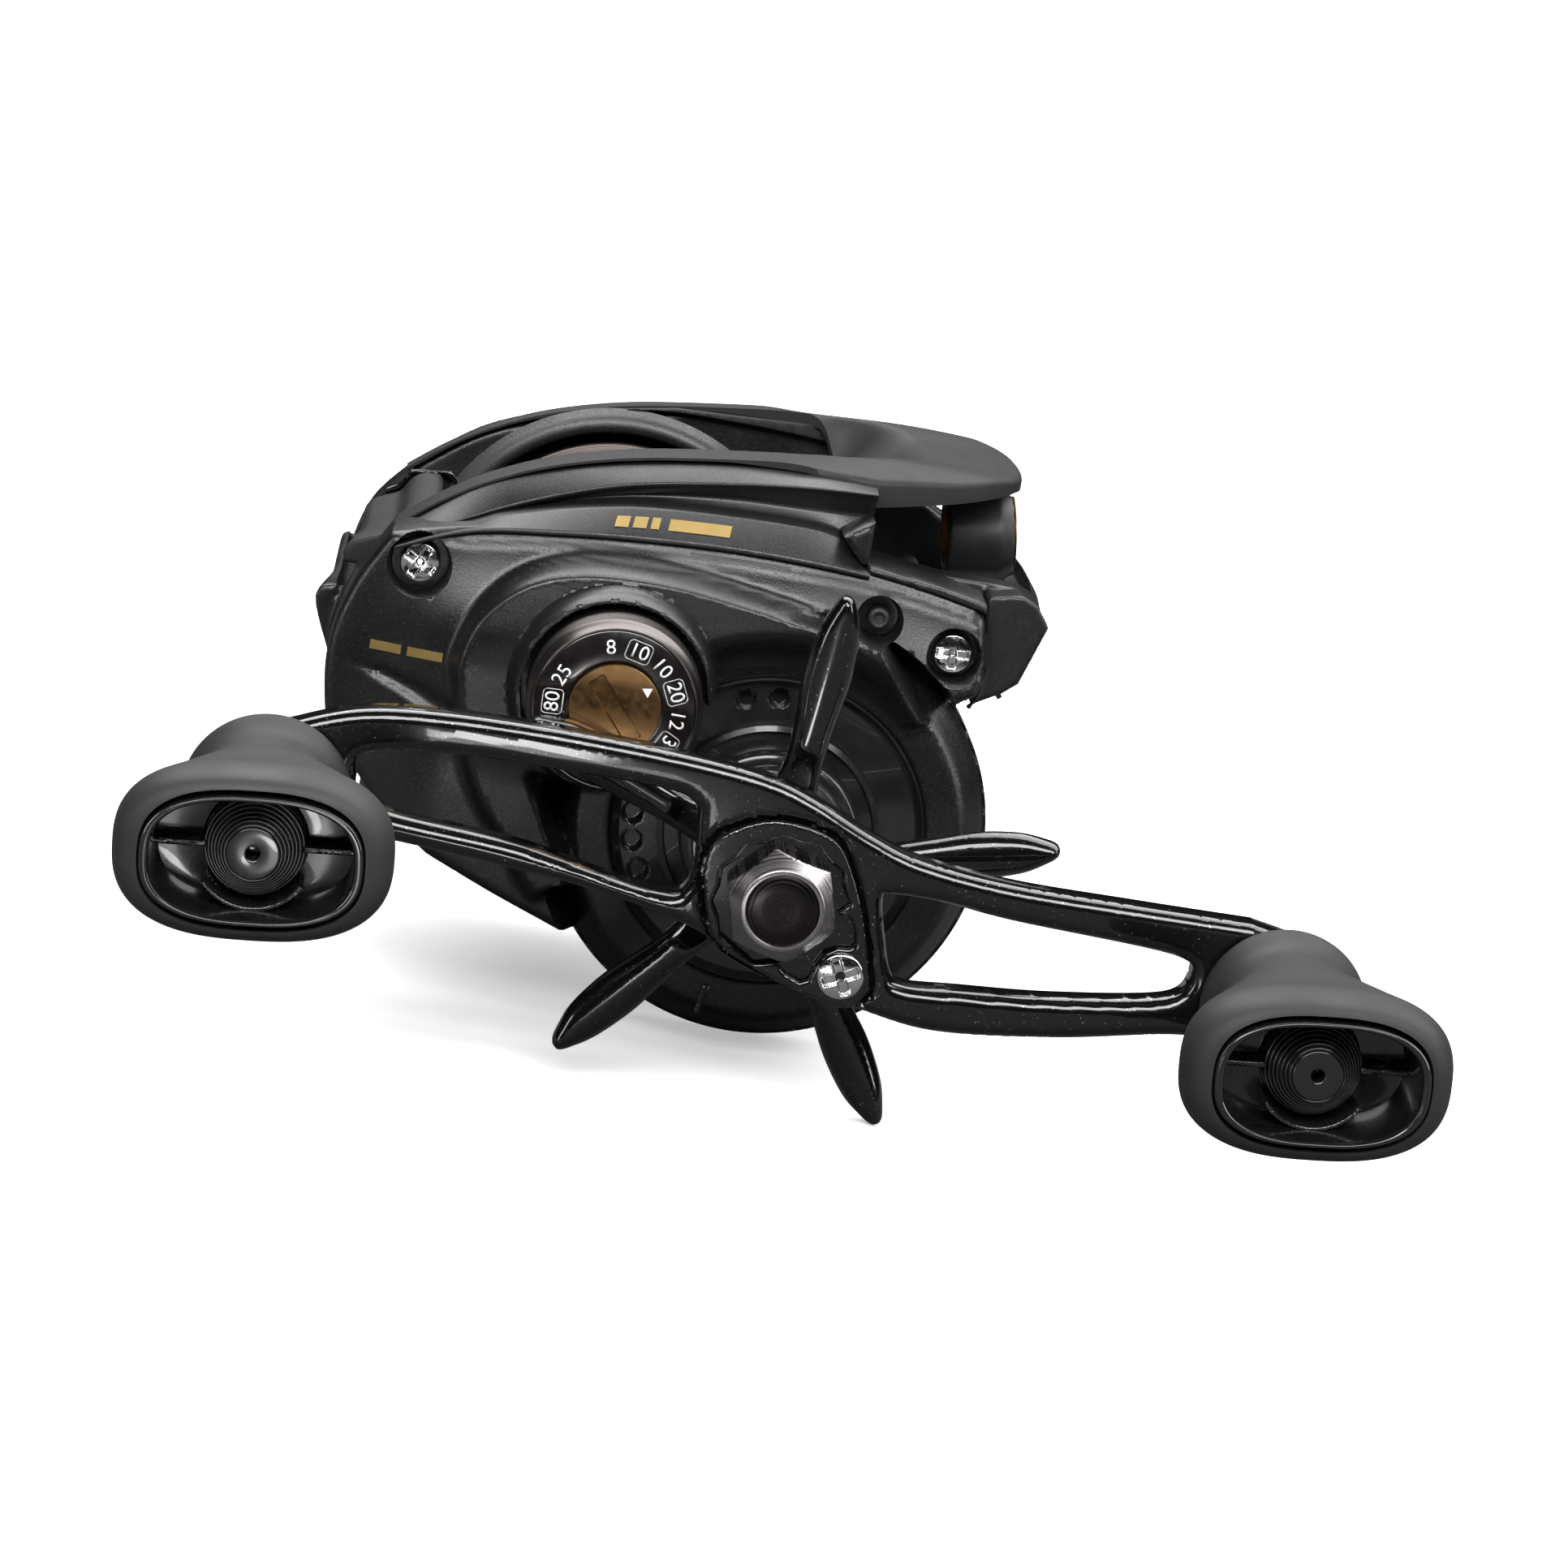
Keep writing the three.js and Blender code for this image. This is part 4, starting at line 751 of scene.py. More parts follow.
# ---- Handle-side cover ----
COVER_EDGE = np.array([
    *outline(*PLATE_REAR, [*REAR_EDGE[:-1], (-22.8, 31.4)], RIDGE,
             [(34.4, 31.5), (34.9, 28.5), (35.1, 25.8)], (34.6, 24.3), (33.2, 23.5)),
    *arc(DRIVE, HOUSING_R, 43, -142, 96),
    *outline((-1.4, -4.5), [(-3.2, -3.8), (-8.8, -1.6), (-15.2, 1.2)]),
])
PLATEAU = outline(
    (-14.9, 18.5),
    [(-15.3, 20.7), (-14.4, 24.4), (-12.4, 27.5), (-9.6, 29.8), (-6, 31.2), (-1.4, 31.8), (4.8, 31.7),
     (12, 30.7), (18.5, 29.6), (25, 28.6)],
    (30, 21), (17, 8), (-6.4, 10.9), (-2.4, 3.6), (-0.8, 0.4), (-4.6, -1), (-6, 0.4),
    [(-8.2, 3.8), (-10.8, 7), (-12.6, 10.4), (-14.2, 15), (-14.9, 18.5)],
)[:-1]
PLATEAU_FACE = 29.6
RECESSES = ((REAR_SCREW, 2.8, 22.6), (FRONT_SCREW, 2.5, 22.6), (OIL_PORT, 2.0, 22.9))  # at, r, floor
CREASE = np.array(spline([(-25.6, 18.7), (-22.4, 18.1), (-19.3, 17.2), (-17.2, 16.3), (-14.2, 14.9)], 6))


def crease_depth(points):
    """A groove that starts as a line near the rear edge and widens towards the plateau."""
    near = np.full(len(points), np.inf)
    for x, z in CREASE:
        near = np.minimum(near, np.hypot(points[:, 0] - x, points[:, 1] - z))
    width = np.interp(points[:, 0], [-25.6, -15], [0.5, 1.7])
    return 0.75 * (1 - smoothstep(near, 0, width)) * smoothstep(points[:, 0], -25.8, -21)


def cover_height(points):
    """How far the cover stands out from y = 0 on the handle side."""
    to_drive = np.hypot(*(points - DRIVE).T)
    to_spool = np.hypot(*(points - SPOOL).T)
    below_ridge = along(RIDGE, points[:, 0]) - points[:, 1]
    shelf = smoothstep(below_ridge, 0.3, 10) * smoothstep(points[:, 0], -27, -14)
    cove = 1 - smoothstep(np.abs(below_ridge - 0.7), 0.2, 1.3)
    base = 24.9 + 2.4 * shelf - 0.5 * cove - crease_depth(points)
    housing = np.interp(to_drive, [0, 18.4, 19.2, 21.5, 22.4], [25.6, 25.6, 25.0, 21.6, 21.2])
    corner = smoothstep(to_drive, 21.2, 22.3)
    height = housing + (base - housing) * corner
    rise = smoothstep(edge_distance(points, PLATEAU), -0.8, 0.9)
    rise = rise * smoothstep(to_drive, 15.8, 20.5)
    height = height + (PLATEAU_FACE - height) * rise
    cup = smoothstep(-to_spool, -10.2, -9.2)
    height = np.maximum(height, height + (32.6 - height) * cup)
    height = np.where(to_spool < 8.85, 29.0, height)
    for at, r, floor in RECESSES:
        away = np.hypot(*(points - at).T)
        height = floor + (height - floor) * smoothstep(away, r - 0.12, r + 0.3)
    return height


def build_cover():
    housing_rings = (15.35, 15.6, 18.4, 18.8, 19.2, 19.6, 21.2, 21.5, 21.9, 22.3)
    cup_rings = (8.75, 8.85, 8.95, 9.2, 9.45, 9.7, 9.95, 10.2)
    recess_steps = (-0.2, -0.1, 0, 0.1, 0.2, 0.32)
    lines = [
        *(ring(DRIVE, r, 420) for r in housing_rings),
        *(ring(SPOOL, r, 220) for r in cup_rings),
        *(ring(at, size + step, 72) for at, size, _ in RECESSES for step in recess_steps),
        *(inset(PLATEAU, d) for d in (-0.8, -0.5, -0.2, 0.1, 0.4, 0.65, 0.9)),
        *(inset(COVER_EDGE, d) for d in (0.06, 0.2, 0.4, 0.7, 1.0)),
    ]
    hole = ring(DRIVE, WELL_R, 300)
    rim_ease = 0.35

    def front(points):
        into_rim = (np.hypot(*(points - DRIVE).T) - WELL_R) / rim_ease
        fall = quarter_round(edge_distance(points, COVER_EDGE)) + rim_ease * quarter_round(into_rim)
        return fall - cover_height(points)

    verts, faces = relief_mesh([COVER_EDGE, hole], lines, 0.45, front,
                               lambda points: np.full(len(points), COVER_BACK))
    piece("cover_shell", verts, faces, "body", "cover_black", ["handle_side_cover"], 60)


def build_well():
    """The sunk ring round the sleeve, with round vents in its floor."""
    vents = [arc((0, 0), 13.1, heading, heading, 1)[0] for heading in (94, 108, 181, 193, 206)]

    def vented(r, y, angle):
        x, z = r * np.cos(angle), r * np.sin(angle)
        for vent in vents:
            away = np.hypot(x - vent[0], z - vent[1])
            y = y + 1.2 * (1 - smoothstep(away, 0.85, 1.05)) * ((r > 11.5) & (r < 14.45))
        return r, y

    floor_rows = [(r, WELL_FLOOR) for r in np.arange(14.35, 11.6, -0.12)]
    profile = [(WELL_R, -19), (WELL_R, -25.6), (15.0, -25.9), (14.75, -25.6), (14.5, -25.1), *floor_rows,
               (10.8, WELL_FLOOR), (10.7, -26.6), (10.2, -26.8), (10.0, -26.3), (8.7, -26.3), (8.6, -28.8),
               (8.3, -29.2), (7.5, -29.2), (7.4, -30.8), (7.2, -31.0), (6.1, -31.0), (6.0, -30.6),
               (6.0, -24)]
    turned("cover_well", DRIVE, profile, "body", "cover_black", (), 480, 0, vented, 60,
           "well_black")
    turned("sleeve_ring", DRIVE, [(7.35, -31.02), (6.6, -31.08), (6.15, -31.02)], "body", "steel",
           (), 120, 0, look="bright_ring")
    rib = outline((-0.3, -19.6), (0.3, -19.6), (0.3, -16.4), (-0.3, -16.4))
    plate("housing_rib", [turn(rib, -12, DRIVE)], -25.95, -24, 0.15, "body", "cover_black", grain=0.4)


build_cover()
build_well()


# ---- Screws ----
def phillips(r, angle, degrees, size):
    """Depth of a cross recess with sloping walls at a point of a screw's face."""
    a = angle - math.radians(degrees)
    u, v = np.abs(r * np.cos(a)), np.abs(r * np.sin(a))
    arm = 1 - smoothstep(np.minimum(u, v), 0.15 * size, 0.25 * size)
    end = 1 - smoothstep(np.maximum(u, v), 0.7 * size, 0.84 * size)
    pit = 1 - smoothstep(r, 0.12 * size, 0.34 * size)
    return np.maximum(0.42 * arm * end, 0.75 * pit)


def screw(name, at, face, end, head_r, replaces, degrees, body="body"):
    rows = [(r, face + 0.3 * (r / head_r) ** 2.5) for r in np.linspace(0.01, head_r * 0.93, 40)]
    rows += [(head_r * 0.98, face + 0.38), (head_r, face + 0.6), (head_r, end)]

    def sunk(r, y, angle):
        return r, y + phillips(r, angle, degrees, head_r) * (y[0] < face + 0.27)

    turned(name, at, rows, body, "chrome", replaces, 192, 0, sunk, 35)


screw("screw_rear", REAR_SCREW, -24.2, -22.6, 1.95, ["cover_screw_rear"], 62)
screw("screw_front", FRONT_SCREW, -24.2, -22.6, 1.95, ["cover_screw_front"], 2)
plug = [(0.01, -24.7), (0.45, -24.7), (0.55, -24.95), (0.8, -25.0), (1.05, -24.8), (1.05, -22.9)]
turned("oil_plug", OIL_PORT, plug, "body", "inner_plastic", ["oil_port_screw"], 64, 0.05)


# ---- Hood, palm side and thumb bar ----
HOOD_CREST = [(-22.6, 31.1), (-18.9, 33.9), (-14.6, 36.5), (-8.8, 38.95), (-1.2, 40.9), (8.2, 42.2),
              (18, 43.15), (26, 43.5), (33, 43.3), (38.5, 42.7)]
HOOD_FLOOR = [(-22.6, 30.9), (-21.6, 31.5), (-15.6, 35.8), (-8.7, 38.6), (-1.1, 40.4), (8.4, 41.7),
              (22.6, 41.75)]
HOOD_HALF = 17.3
SCOOP_X, SCOOP_NEAR, SCOOP_FAR = 14.0, 8.0, 15.4  # the scoop ahead of the spool: two squarish arcs
SQUARENESS = 2.6
OPENING_HALF = 13.2


def scoop_side(y):
    return np.clip(1 - np.abs(y / OPENING_HALF) ** SQUARENESS, 1e-4, 1) ** (1 / SQUARENESS)


def scoop_arc(reach, count=60):
    """From the palm side to the handle side round one edge of the scoop."""
    y = OPENING_HALF * np.sin(np.linspace(np.pi / 2, -np.pi / 2, count))
    return np.stack([SCOOP_X + reach * scoop_side(y), y], axis=1)


def scoop(p):
    """0 at the opening's lower front edge, 1 where the scoop meets the hood's top."""
    reach = (p[:, 0] - SCOOP_X) / scoop_side(p[:, 1])
    return np.where(np.abs(p[:, 1]) < OPENING_HALF, (reach - SCOOP_NEAR) / (SCOOP_FAR - SCOOP_NEAR), 1)


def build_hood():
    half = [(30.5, -15.6), (35.2, -12.2), (37.7, -7.5), (38.4, 0)]
    outer = outline((-22.5, -HOOD_HALF), (23, -HOOD_HALF), [*half, *[(x, -y) for x, y in half[-2::-1]],
                    (23, HOOD_HALF)], (-22.5, HOOD_HALF))
    # Open at the rear: two strips beside the spool that join ahead of it.
    plan = np.concatenate([outer, [(-22.5, OPENING_HALF)], scoop_arc(SCOOP_NEAR), [(-22.5, -OPENING_HALF)]])

    def top(p):
        crest = along(HOOD_CREST, p[:, 0])
        edge = np.clip((np.abs(p[:, 1]) - 11.5) / 5.8, 0, 1)
        crown = (0.25 + 1.2 * smoothstep(p[:, 0], 12, 24)) * edge**1.6
        brim = eased(p, [outer], 0.5) * smoothstep(p[:, 0], 15, 23)
        dip = 4.6 * (1 - smoothstep(scoop(p), 0, 1)) * smoothstep(p[:, 0], SCOOP_X + 1, SCOOP_X + 8)
        dip = dip * (1 - smoothstep(np.abs(p[:, 1]), 9, 13))
        hollow = 0.5 * smoothstep(p[:, 0], 20, 26) * (1 - smoothstep(np.abs(p[:, 1]), 5, 11))
        return crest - crown - brim - dip - hollow * (1 - smoothstep(p[:, 0], 30, 37))

    def bottom(p):
        low = along(HOOD_FLOOR, p[:, 0])
        brow = np.interp(p[:, 0], [22.9, 30, 36, 38.5], [39.4, 40.5, 41.45, 41.8])
        low = np.where(p[:, 0] > 22.85, brow, low)
        return np.minimum(low, top(p) - 0.25 - 0.5 * (p[:, 0] > 16))

    widths = np.linspace(-17.2, 17.2, 70)
    lines = [
        *(inset(outer, d) for d in (0.06, 0.15, 0.3, 0.5, 0.9)),
        *(scoop_arc(SCOOP_NEAR + k * (SCOOP_FAR - SCOOP_NEAR))
          for k in (0.05, 0.15, 0.3, 0.45, 0.6, 0.75, 0.9, 1)),
        *(np.stack([np.full(70, x), widths], axis=1) for x in (22.8, 22.9)),
    ]
    verts, faces = relief_mesh([plan], lines, 0.5, top, bottom)
    verts = verts[:, [0, 2, 1]]
    piece("hood_shell", verts, faces, "body", "hood_black", ["front_hood"], 50)
    skirt = outline((-1, 40.7), [(4.5, 41.1), (13.6, 40.9), (20.5, 40.4)], (22.2, 40.6), (21.6, 42.2),
                    (13.6, 41.8), (4, 41.5))
    for name, near, far in (("near", -13.6, -12.95), ("far", 12.3, 13.5)):
        plate("hood_skirt_" + name, [skirt], near, far, 0.15, "body", "hood_black", grain=0.6)


def build_palm_side():
    dome = lathe(SPOOL, [(0, 18), (17.2, 18), (16.8, 20.4), (15.4, 21.3), (12, 22.1), (8, 22.4),
                         (0, PALM_FACE)])
    latch_at = (-17, 10)
    cuts = [rod(SPOOL, 14.5, 16, 19.2), rod(latch_at, 4.6, 20.1, 24), rod(latch_at, 1.2, 16, 24)]
    cast("palm_shell", [slab(PALM_PLATE, PLATE_OUT + 0.15, 20.4), dome], cuts, "body", "cover_black",
         ["palm_side_cover"], 0.3, 5)
    lever = outline((-1.6, 1.5), [(0, 2.2), (1.8, 1.2), (2.2, 0)], [(1.6, -1.6), (0, -4.2), (-1.6, -1.8)])
    plate("latch_lever", [turn(lever, 0, latch_at)], 20.3, 21.6, 0.4, "latch", "gloss_black",
          ["palm_cover_latch"], 0.3)


def drawn_in(verts):
    """The bar's rear face runs inwards from its handle end."""
    x, y = verts[:, 0], verts[:, 1]
    verts[:, 0] = x + 1.2 * smoothstep(y, -13, -2) * smoothstep(-x, 19, 27)
    return verts


def build_thumb_bar():
    section = outline(
        (-27.1, 25.4),
        [(-27.35, 26.5), (-26.7, 27.6), (-25.2, 28.3), (-23.4, 29.0), (-22.2, 30.4), (-20.6, 31.2),
         (-19, 31.3)],
        (-18.5, 30.6), (-19.4, 29.6), (-21.4, 28.2), (-22.4, 26.6), (-23.6, 25.4),
    )
    tongue = block(-22.9, -21.6, -18.5, -12, 26.3, 27.5)
    cast("thumb_pad", [slab(section, -12.4, 12.1), tongue], [], "thumb_bar_unit", "hood_black",
         ["thumb_bar"], 0.18, 12, drawn_in)
    # The rim of the seat that the bar's far end drops into.
    rim = outline((-24.2, 28.2), (-22.9, 29.0), (-21.6, 30.7), (-18.2, 31.1), (-17.5, 30.4), (-17.7, 29.4),
                  (-17.2, 29.3), (-16.9, 30.6), (-17.9, 31.6), (-21.9, 31.2), (-23.3, 29.4), (-24.5, 28.7))
    plate("thumb_seat_rim", [rim], 12.3, 13.2, 0.15, "body", "gloss_black", grain=0.4)


build_hood()
build_palm_side()
build_thumb_bar()


# ---- Foot ----
def build_foot():
    edge = [(-22, 3.6), (-19, 5.6), (-12, 6.4), (0, 6.6), (14, 6.4), (27, 5.6), (33, 4.2), (35.4, 1.8)]
    mirrored = [(x, -y) for x, y in edge[::-1]]
    loop = outline((-22.6, 1.6), edge, mirrored[0], mirrored[1:], (-22.6, -1.6))
    holes = [upright(ring((x, 0), FOOT_SCREW_HOLE_R, 48), -1, 4) for x in FOOT_SCREW_X]
    cast("foot_plate", [upright(loop, 0, 2)], holes, "body", "frame_black", ["reel_foot"], 0.2, 3)


build_foot()


# ---- Spool and tension dial ----
def build_spool():
    profile = [
        (1.6, -8), (2.6, -8), (2.6, -3), (9.3, -3), (9.3, -11.2), (15.9, -12.2), (16.8, -12.2),
        (16.8, -11.4), (11.2, -9.8), (10.4, -9), (10.4, 9), (11.2, 9.8), (16.8, 11.4), (16.8, 12.2),
        (15.9, 12.2), (9.3, 11.2), (9.3, 3), (2.6, 3), (2.6, 6.8), (1.6, 6.8),
    ]
    turned("spool_drum", SPOOL, profile, "spool_unit", "spool_metal", ["spool"], 160, 0.22)


def build_dial():
    teeth, pitch = 150, 0.5

    def knurl(r, y, angle):
        """Crossed spiral cuts round the rim."""
        on_side = smoothstep(-y, 32.2, 32.5) * (1 - smoothstep(-y, 36.2, 36.5)) * (r > 8)
        diamonds = np.cos(teeth * angle) * np.cos(2 * np.pi * y / pitch)
        return r - 0.13 * on_side * (0.5 - 0.5 * diamonds), y

    side = [(8.3, y) for y in np.arange(-32.2, -36.55, -pitch / 4)]
    knob = [(6, -31.3), (8.2, -31.3), (8.3, -31.5), *side, (8.28, -36.7), (8.1, -36.9), (7.75, -37.75),
            (7.68, -37.98), (7.55, -37.98), (7.5, -37.5), (4.45, -37.2), (0.01, -37.2)]
    turned("dial_knob", SPOOL, knob, "tension", "gunmetal", ["tension_knob"], teeth * 6,
           0, knurl, 50)
    face = [(7.42, -37.6), (7.42, -37.9), (7.34, -37.96), (4.66, -37.96), (4.6, -37.9), (4.6, -37.6)]
    turned("dial_face", SPOOL, face, "tension", "dial_black", ["tension_dial_plate"], 160, 0)

    def slotted(r, y, angle):
        a = angle - math.radians(-51)
        lengthwise, across = r * np.cos(a), r * np.sin(a)
        inside = smoothstep(-np.abs(across), -0.84, -0.76) * smoothstep(-np.abs(lengthwise), -3.45, -3.35)
        return r, y + 0.5 * inside * (r < 4.2)

    rows = [(4.3, -37.3), (4.3, -38.1), (4.22, DISC_FACE),
            *((r, DISC_FACE) for r in np.arange(4.1, 0.05, -0.07)), (0.01, DISC_FACE)]
    turned("indicator_disc", SPOOL, rows, "indicator", "bronze", ["line_indicator"], 420, 0,
           slotted, 35)


build_spool()
build_dial()


def print_mark(name, loops, y, body, slot):
    """A flat white mark that stands just proud of its surface."""
    depth = 0.02
    verts, faces = [], []
    for loop in loops:
        n = len(loop)
        start = len(verts)
        for level in (y - depth, y + depth):
            verts += [(x, level, z) for x, z in loop]
        faces += [tuple(start + i for i in range(n)), tuple(start + n + i for i in range(n))[::-1]]
        faces += [(start + i, start + (i + 1) % n, start + n + (i + 1) % n, start + n + i)
                  for i in range(n)]
    piece(name, verts, faces, body, slot, (), 30, "white_print")


def dial_number(name, text, at, degrees):
    """A printed number, upright when degrees is 0, facing the handle side."""
    curve = bpy.data.curves.new(name, "FONT")
    curve.body = text
    curve.size = 1.95 * MM
    curve.align_x = "CENTER"
    curve.align_y = "CENTER"
    curve.extrude = 0.02 * MM
    obj = bpy.data.objects.new(name, curve)
    bpy.context.collection.objects.link(obj)
    face = Matrix.Rotation(math.pi / 2, 4, "X")
    spin = Matrix.Rotation(math.radians(degrees), 4, "Z")
    move = Matrix.Translation((at[0] * MM, DIAL_PRINT * MM, at[1] * MM))
    obj.matrix_world = move @ face @ spin
    bpy.context.view_layer.update()
    mesh = evaluated_mesh(obj)
    mesh.transform(obj.matrix_world)
    bpy.data.objects.remove(obj)
    finish_piece(name, mesh, "tension", "dial_black", look="white_print")


def round_box(at, width, height, degrees, corner=0.45, line=0.1):
    """A thin rounded box round a number, as short straight bars that follow its outline."""
    w, h = width / 2 - corner, height / 2 - corner
    corners = [(w, h, 0), (-w, h, 90), (-w, -h, 180), (w, -h, 270)]
    path, inner = (
        np.concatenate([arc((x, z), r, start, start + 90, 5) for x, z, start in corners])
        for r in (corner, corner - line)
    )
    follow = range(len(path))
    return [turn([path[i - 1], path[i], inner[i], inner[i - 1]], degrees, at) for i in follow]


def build_prints():
    """The dial's numbers, every other one in a box, and the arrow beside them."""
    numbers = ["8", "10", "10", "20", "12", "30", "14", "40", "16", "60", "20", "80", "25"]
    step, first, last, clockwise = 26, 102, 155, 9
    for i, text in enumerate(numbers):
        heading = first - step * i if i < clockwise else last + step * (len(numbers) - 1 - i)
        at = arc(SPOOL, 5.85, heading, heading, 1)[0]
        dial_number(f"dial_number_{i + 1}", text, at, heading - 90)
        if i % 2:
            box = round_box(at, 2.45, 2.0, heading - 90)
            print_mark(f"dial_box_{i + 1}", box, -37.97, "tension", "dial_black")
    pointer = turn([(-0.5, 3.2), (0.5, 3.2), (0, 4.05)], -52, SPOOL)
    print_mark("indicator_pointer", [pointer], DISC_FACE - 0.02, "indicator", "bronze")


def build_bars():
    """Gold bars: a row of slanted blocks and a long one on the shoulder, and two on the cover."""
    shoulder_bars = [(-2.2, -0.9), (-0.5, 0.8), (1.2, 2.0), (2.9, 8.8)]
    cover_bars = [(-23.4, -20.4), (-19.8, -16.4)]
    cover_bar_z, cover_bar_half = 20.6, 0.45
    verts, faces = [], []

    def tile(rows):
        start, wide = len(verts), len(rows[0])
        verts.extend(tuple(p) for row in rows for p in row)
        faces.extend((start + i, start + i + 1, start + wide + i + 1, start + wide + i)
                     for i in range(wide - 1))

    for x0, x1 in shoulder_bars:
        rows = []
        for up in (0.3, 0.68):
            lean = np.linspace(x0, x1, 8) + 0.5 * up
            low, high = along(RIDGE_LINE, lean) + 0.12, along(PRINT_EDGE, lean)
            y = BAND_OUT + 3.0 * up - 0.06
            rows.append([(x, y, a + (b - a) * up + 0.03) for x, a, b in zip(lean, low, high)])
        tile(rows)
    for x0, x1 in cover_bars:
        xs = np.linspace(x0, x1, 10)
        rows = []
        for level in (cover_bar_z - cover_bar_half, cover_bar_z + cover_bar_half):
            on_cover = np.stack([xs, np.full(10, level)], axis=1)
            rows.append(np.insert(on_cover, 1, -cover_height(on_cover) - 0.03, axis=1))
        tile(rows)
    piece("gold_bars", verts, faces, "body", "cover_black", (), 30, "gold_print")


build_bars()
build_prints()


# ---- Star drag and spacer ----
def build_star():
    blade = [
        (5.6, -2.5), (7.5, -2.1), (11, -1.75), (15, -1.95), (19, -2.25), (23, -1.95), (25.4, -1.1),
        (26.5, -0.5), (STAR_R, 0.1), (26.6, 0.7), (25.5, 1.25), (23, 2.0), (19, 2.3), (15, 2.0),
        (11, 1.75), (7.5, 2.1), (5.6, 2.5),
    ]
    loop = np.concatenate([turn(blade, 72 * i) for i in range(5)])
    star = np.array(spline([*loop, loop[0]], 5)[:-1])
    bore = ring((0, 0), 3.25, 48)

    def lift(points):
        r = np.hypot(*points.T)
        return -1.7 * smoothstep(r, 7, 12)

    def crest(points):
        """A soft crease along each blade's middle."""
        r = np.hypot(*points.T)
        angle = np.degrees(np.arctan2(points[:, 1], points[:, 0]))
        off = np.abs((angle + 36) % 72 - 36)
        across = r * np.radians(off)
        return 0.75 * smoothstep(r, 9, 14) * np.clip(across / 2.2, 0, 1) ** 1.8

    plate("star_arms", [star, bore], -39.5, -36.6, 1.05, "star", "gloss_black", ["star_drag"], 0.5,
          lift, lambda loop: turn(loop, STAR_TILT, DRIVE), 70, crest)
    hub = [(3.25, -33), (6.3, -33), (6.9, -35.9), (6.7, -40.3), (6.3, -40.6), (3.4, -40.6), (3.25, -40.4)]
    turned("star_hub", DRIVE, hub, "star", "gloss_black", (), 96, 0.3)
    spacer = [(2.6, -48.2), (4.4, -48.2), (4.4, -41), (2.6, -41)]
    turned("spacer", DRIVE, spacer, "drive", "gunmetal", ["handle_spacer"], look="nut_metal")


build_star()


# ---- Handle ----
def in_handle(points):
    """From the handle's own drawing, along X through its middle, to the frame."""
    return turn(points, math.degrees(HANDLE_TILT), DRIVE)


def bow(points):
    return HANDLE_SWEEP * (points[:, 0] / HANDLE_REACH) ** 2


def teardrop(grow):
    """The retainer's outline in the handle's drawing, wider by `grow` all round."""
    g = grow
    return outline(
        (-7.6 - g, 1.2),
        [(-7 - g, 4.6 + g), (-2.5, 7.4 + g), (3.2 + g, 6.9 + g), (6 + g, 3.6), (8.2 + g, -1.2),
         (9.8 + g, -6.3)],
        [(8.4 + g, -8.3 - g), (5.7, -8.3 - g), (-0.8, -6.6 - g), (-5.4 - g, -4.2 - g), (-7.6 - g, 1.2)],
    )[:-1]


def build_handle():
    edge = outline(
        (-HANDLE_REACH - 3.8, 1),
        [(-50.4, 4.2), (-46.5, 6.6), (-40.4, 9.2), (-32.5, 10.5), (-22.3, 11.2), (-11.1, 11.4), (-3.5, 11),
         (1.3, 9.8), (7.1, 7.6), (12, 6.3), (20.5, 5.8), (31.9, 6.2), (43.3, 6.7)],
        [(49.2, 5.4), (51.6, 1.6), (51.4, -2.4), (48.6, -4.8), (44, -5.6)],
        [(39.3, -5), (27.6, -7.6), (16.5, -9.2), (8.7, -8.5), (1.6, -7.7), (-3.3, -6.4), (-6.8, -4.4),
         (-15.8, -2.8), (-26.8, -2.3), (-35.3, -2.2)],
        [(-42, -3.4), (-47, -4.2), (-50.6, -2.4)],
    )
    rear_window = outline((-40.1, 3.1),
                          [(-39.6, 5.2), (-31.8, 6.9), (-21.5, 7.6), (-11.8, 7.9), (-9.1, 6.8)],
                          [(-8.5, -0.1), (-11.9, -1.6), (-24.3, 0), (-38, 0.4), (-40.1, 3.1)])[:-1]
    front_window = outline((9.1, 2.6), [(14.3, 2.9), (21.3, 2.5), (36.7, 2.3), (38.9, 0.6)],
                           [(37, -1.8), (26.7, -3.9), (17.8, -5), (12.9, -5.5), (11.3, -4.4), (9.4, 0.8),
                            (9.1, 2.6)])[:-1]
    seat = teardrop(0.3)

    def sunk(points):
        return 0.6 * smoothstep(edge_distance(points, seat), -0.1, 0.1)

    loops = [edge, rear_window, front_window]
    ease, back_ease = 1.15, 0.25
    seat_lines = [inset(seat, d) for d in (-0.12, -0.06, 0, 0.06, 0.12)]
    verts, faces = relief_mesh(
        loops, [*insets(loops, (0.08, 0.16, 0.25, 0.5, 0.8, ease)), *seat_lines], 0.5,
        lambda p: HANDLE_FACE + eased(p, loops, ease) + bow(p) + sunk(p),
        lambda p: HANDLE_FACE + HANDLE_THICK - eased(p, loops, back_ease) + bow(p),
    )
    verts[:, [0, 2]] = in_handle(verts[:, [0, 2]])
    piece("handle_arm", verts, faces, "drive", "gloss_black", ["handle"], 60)


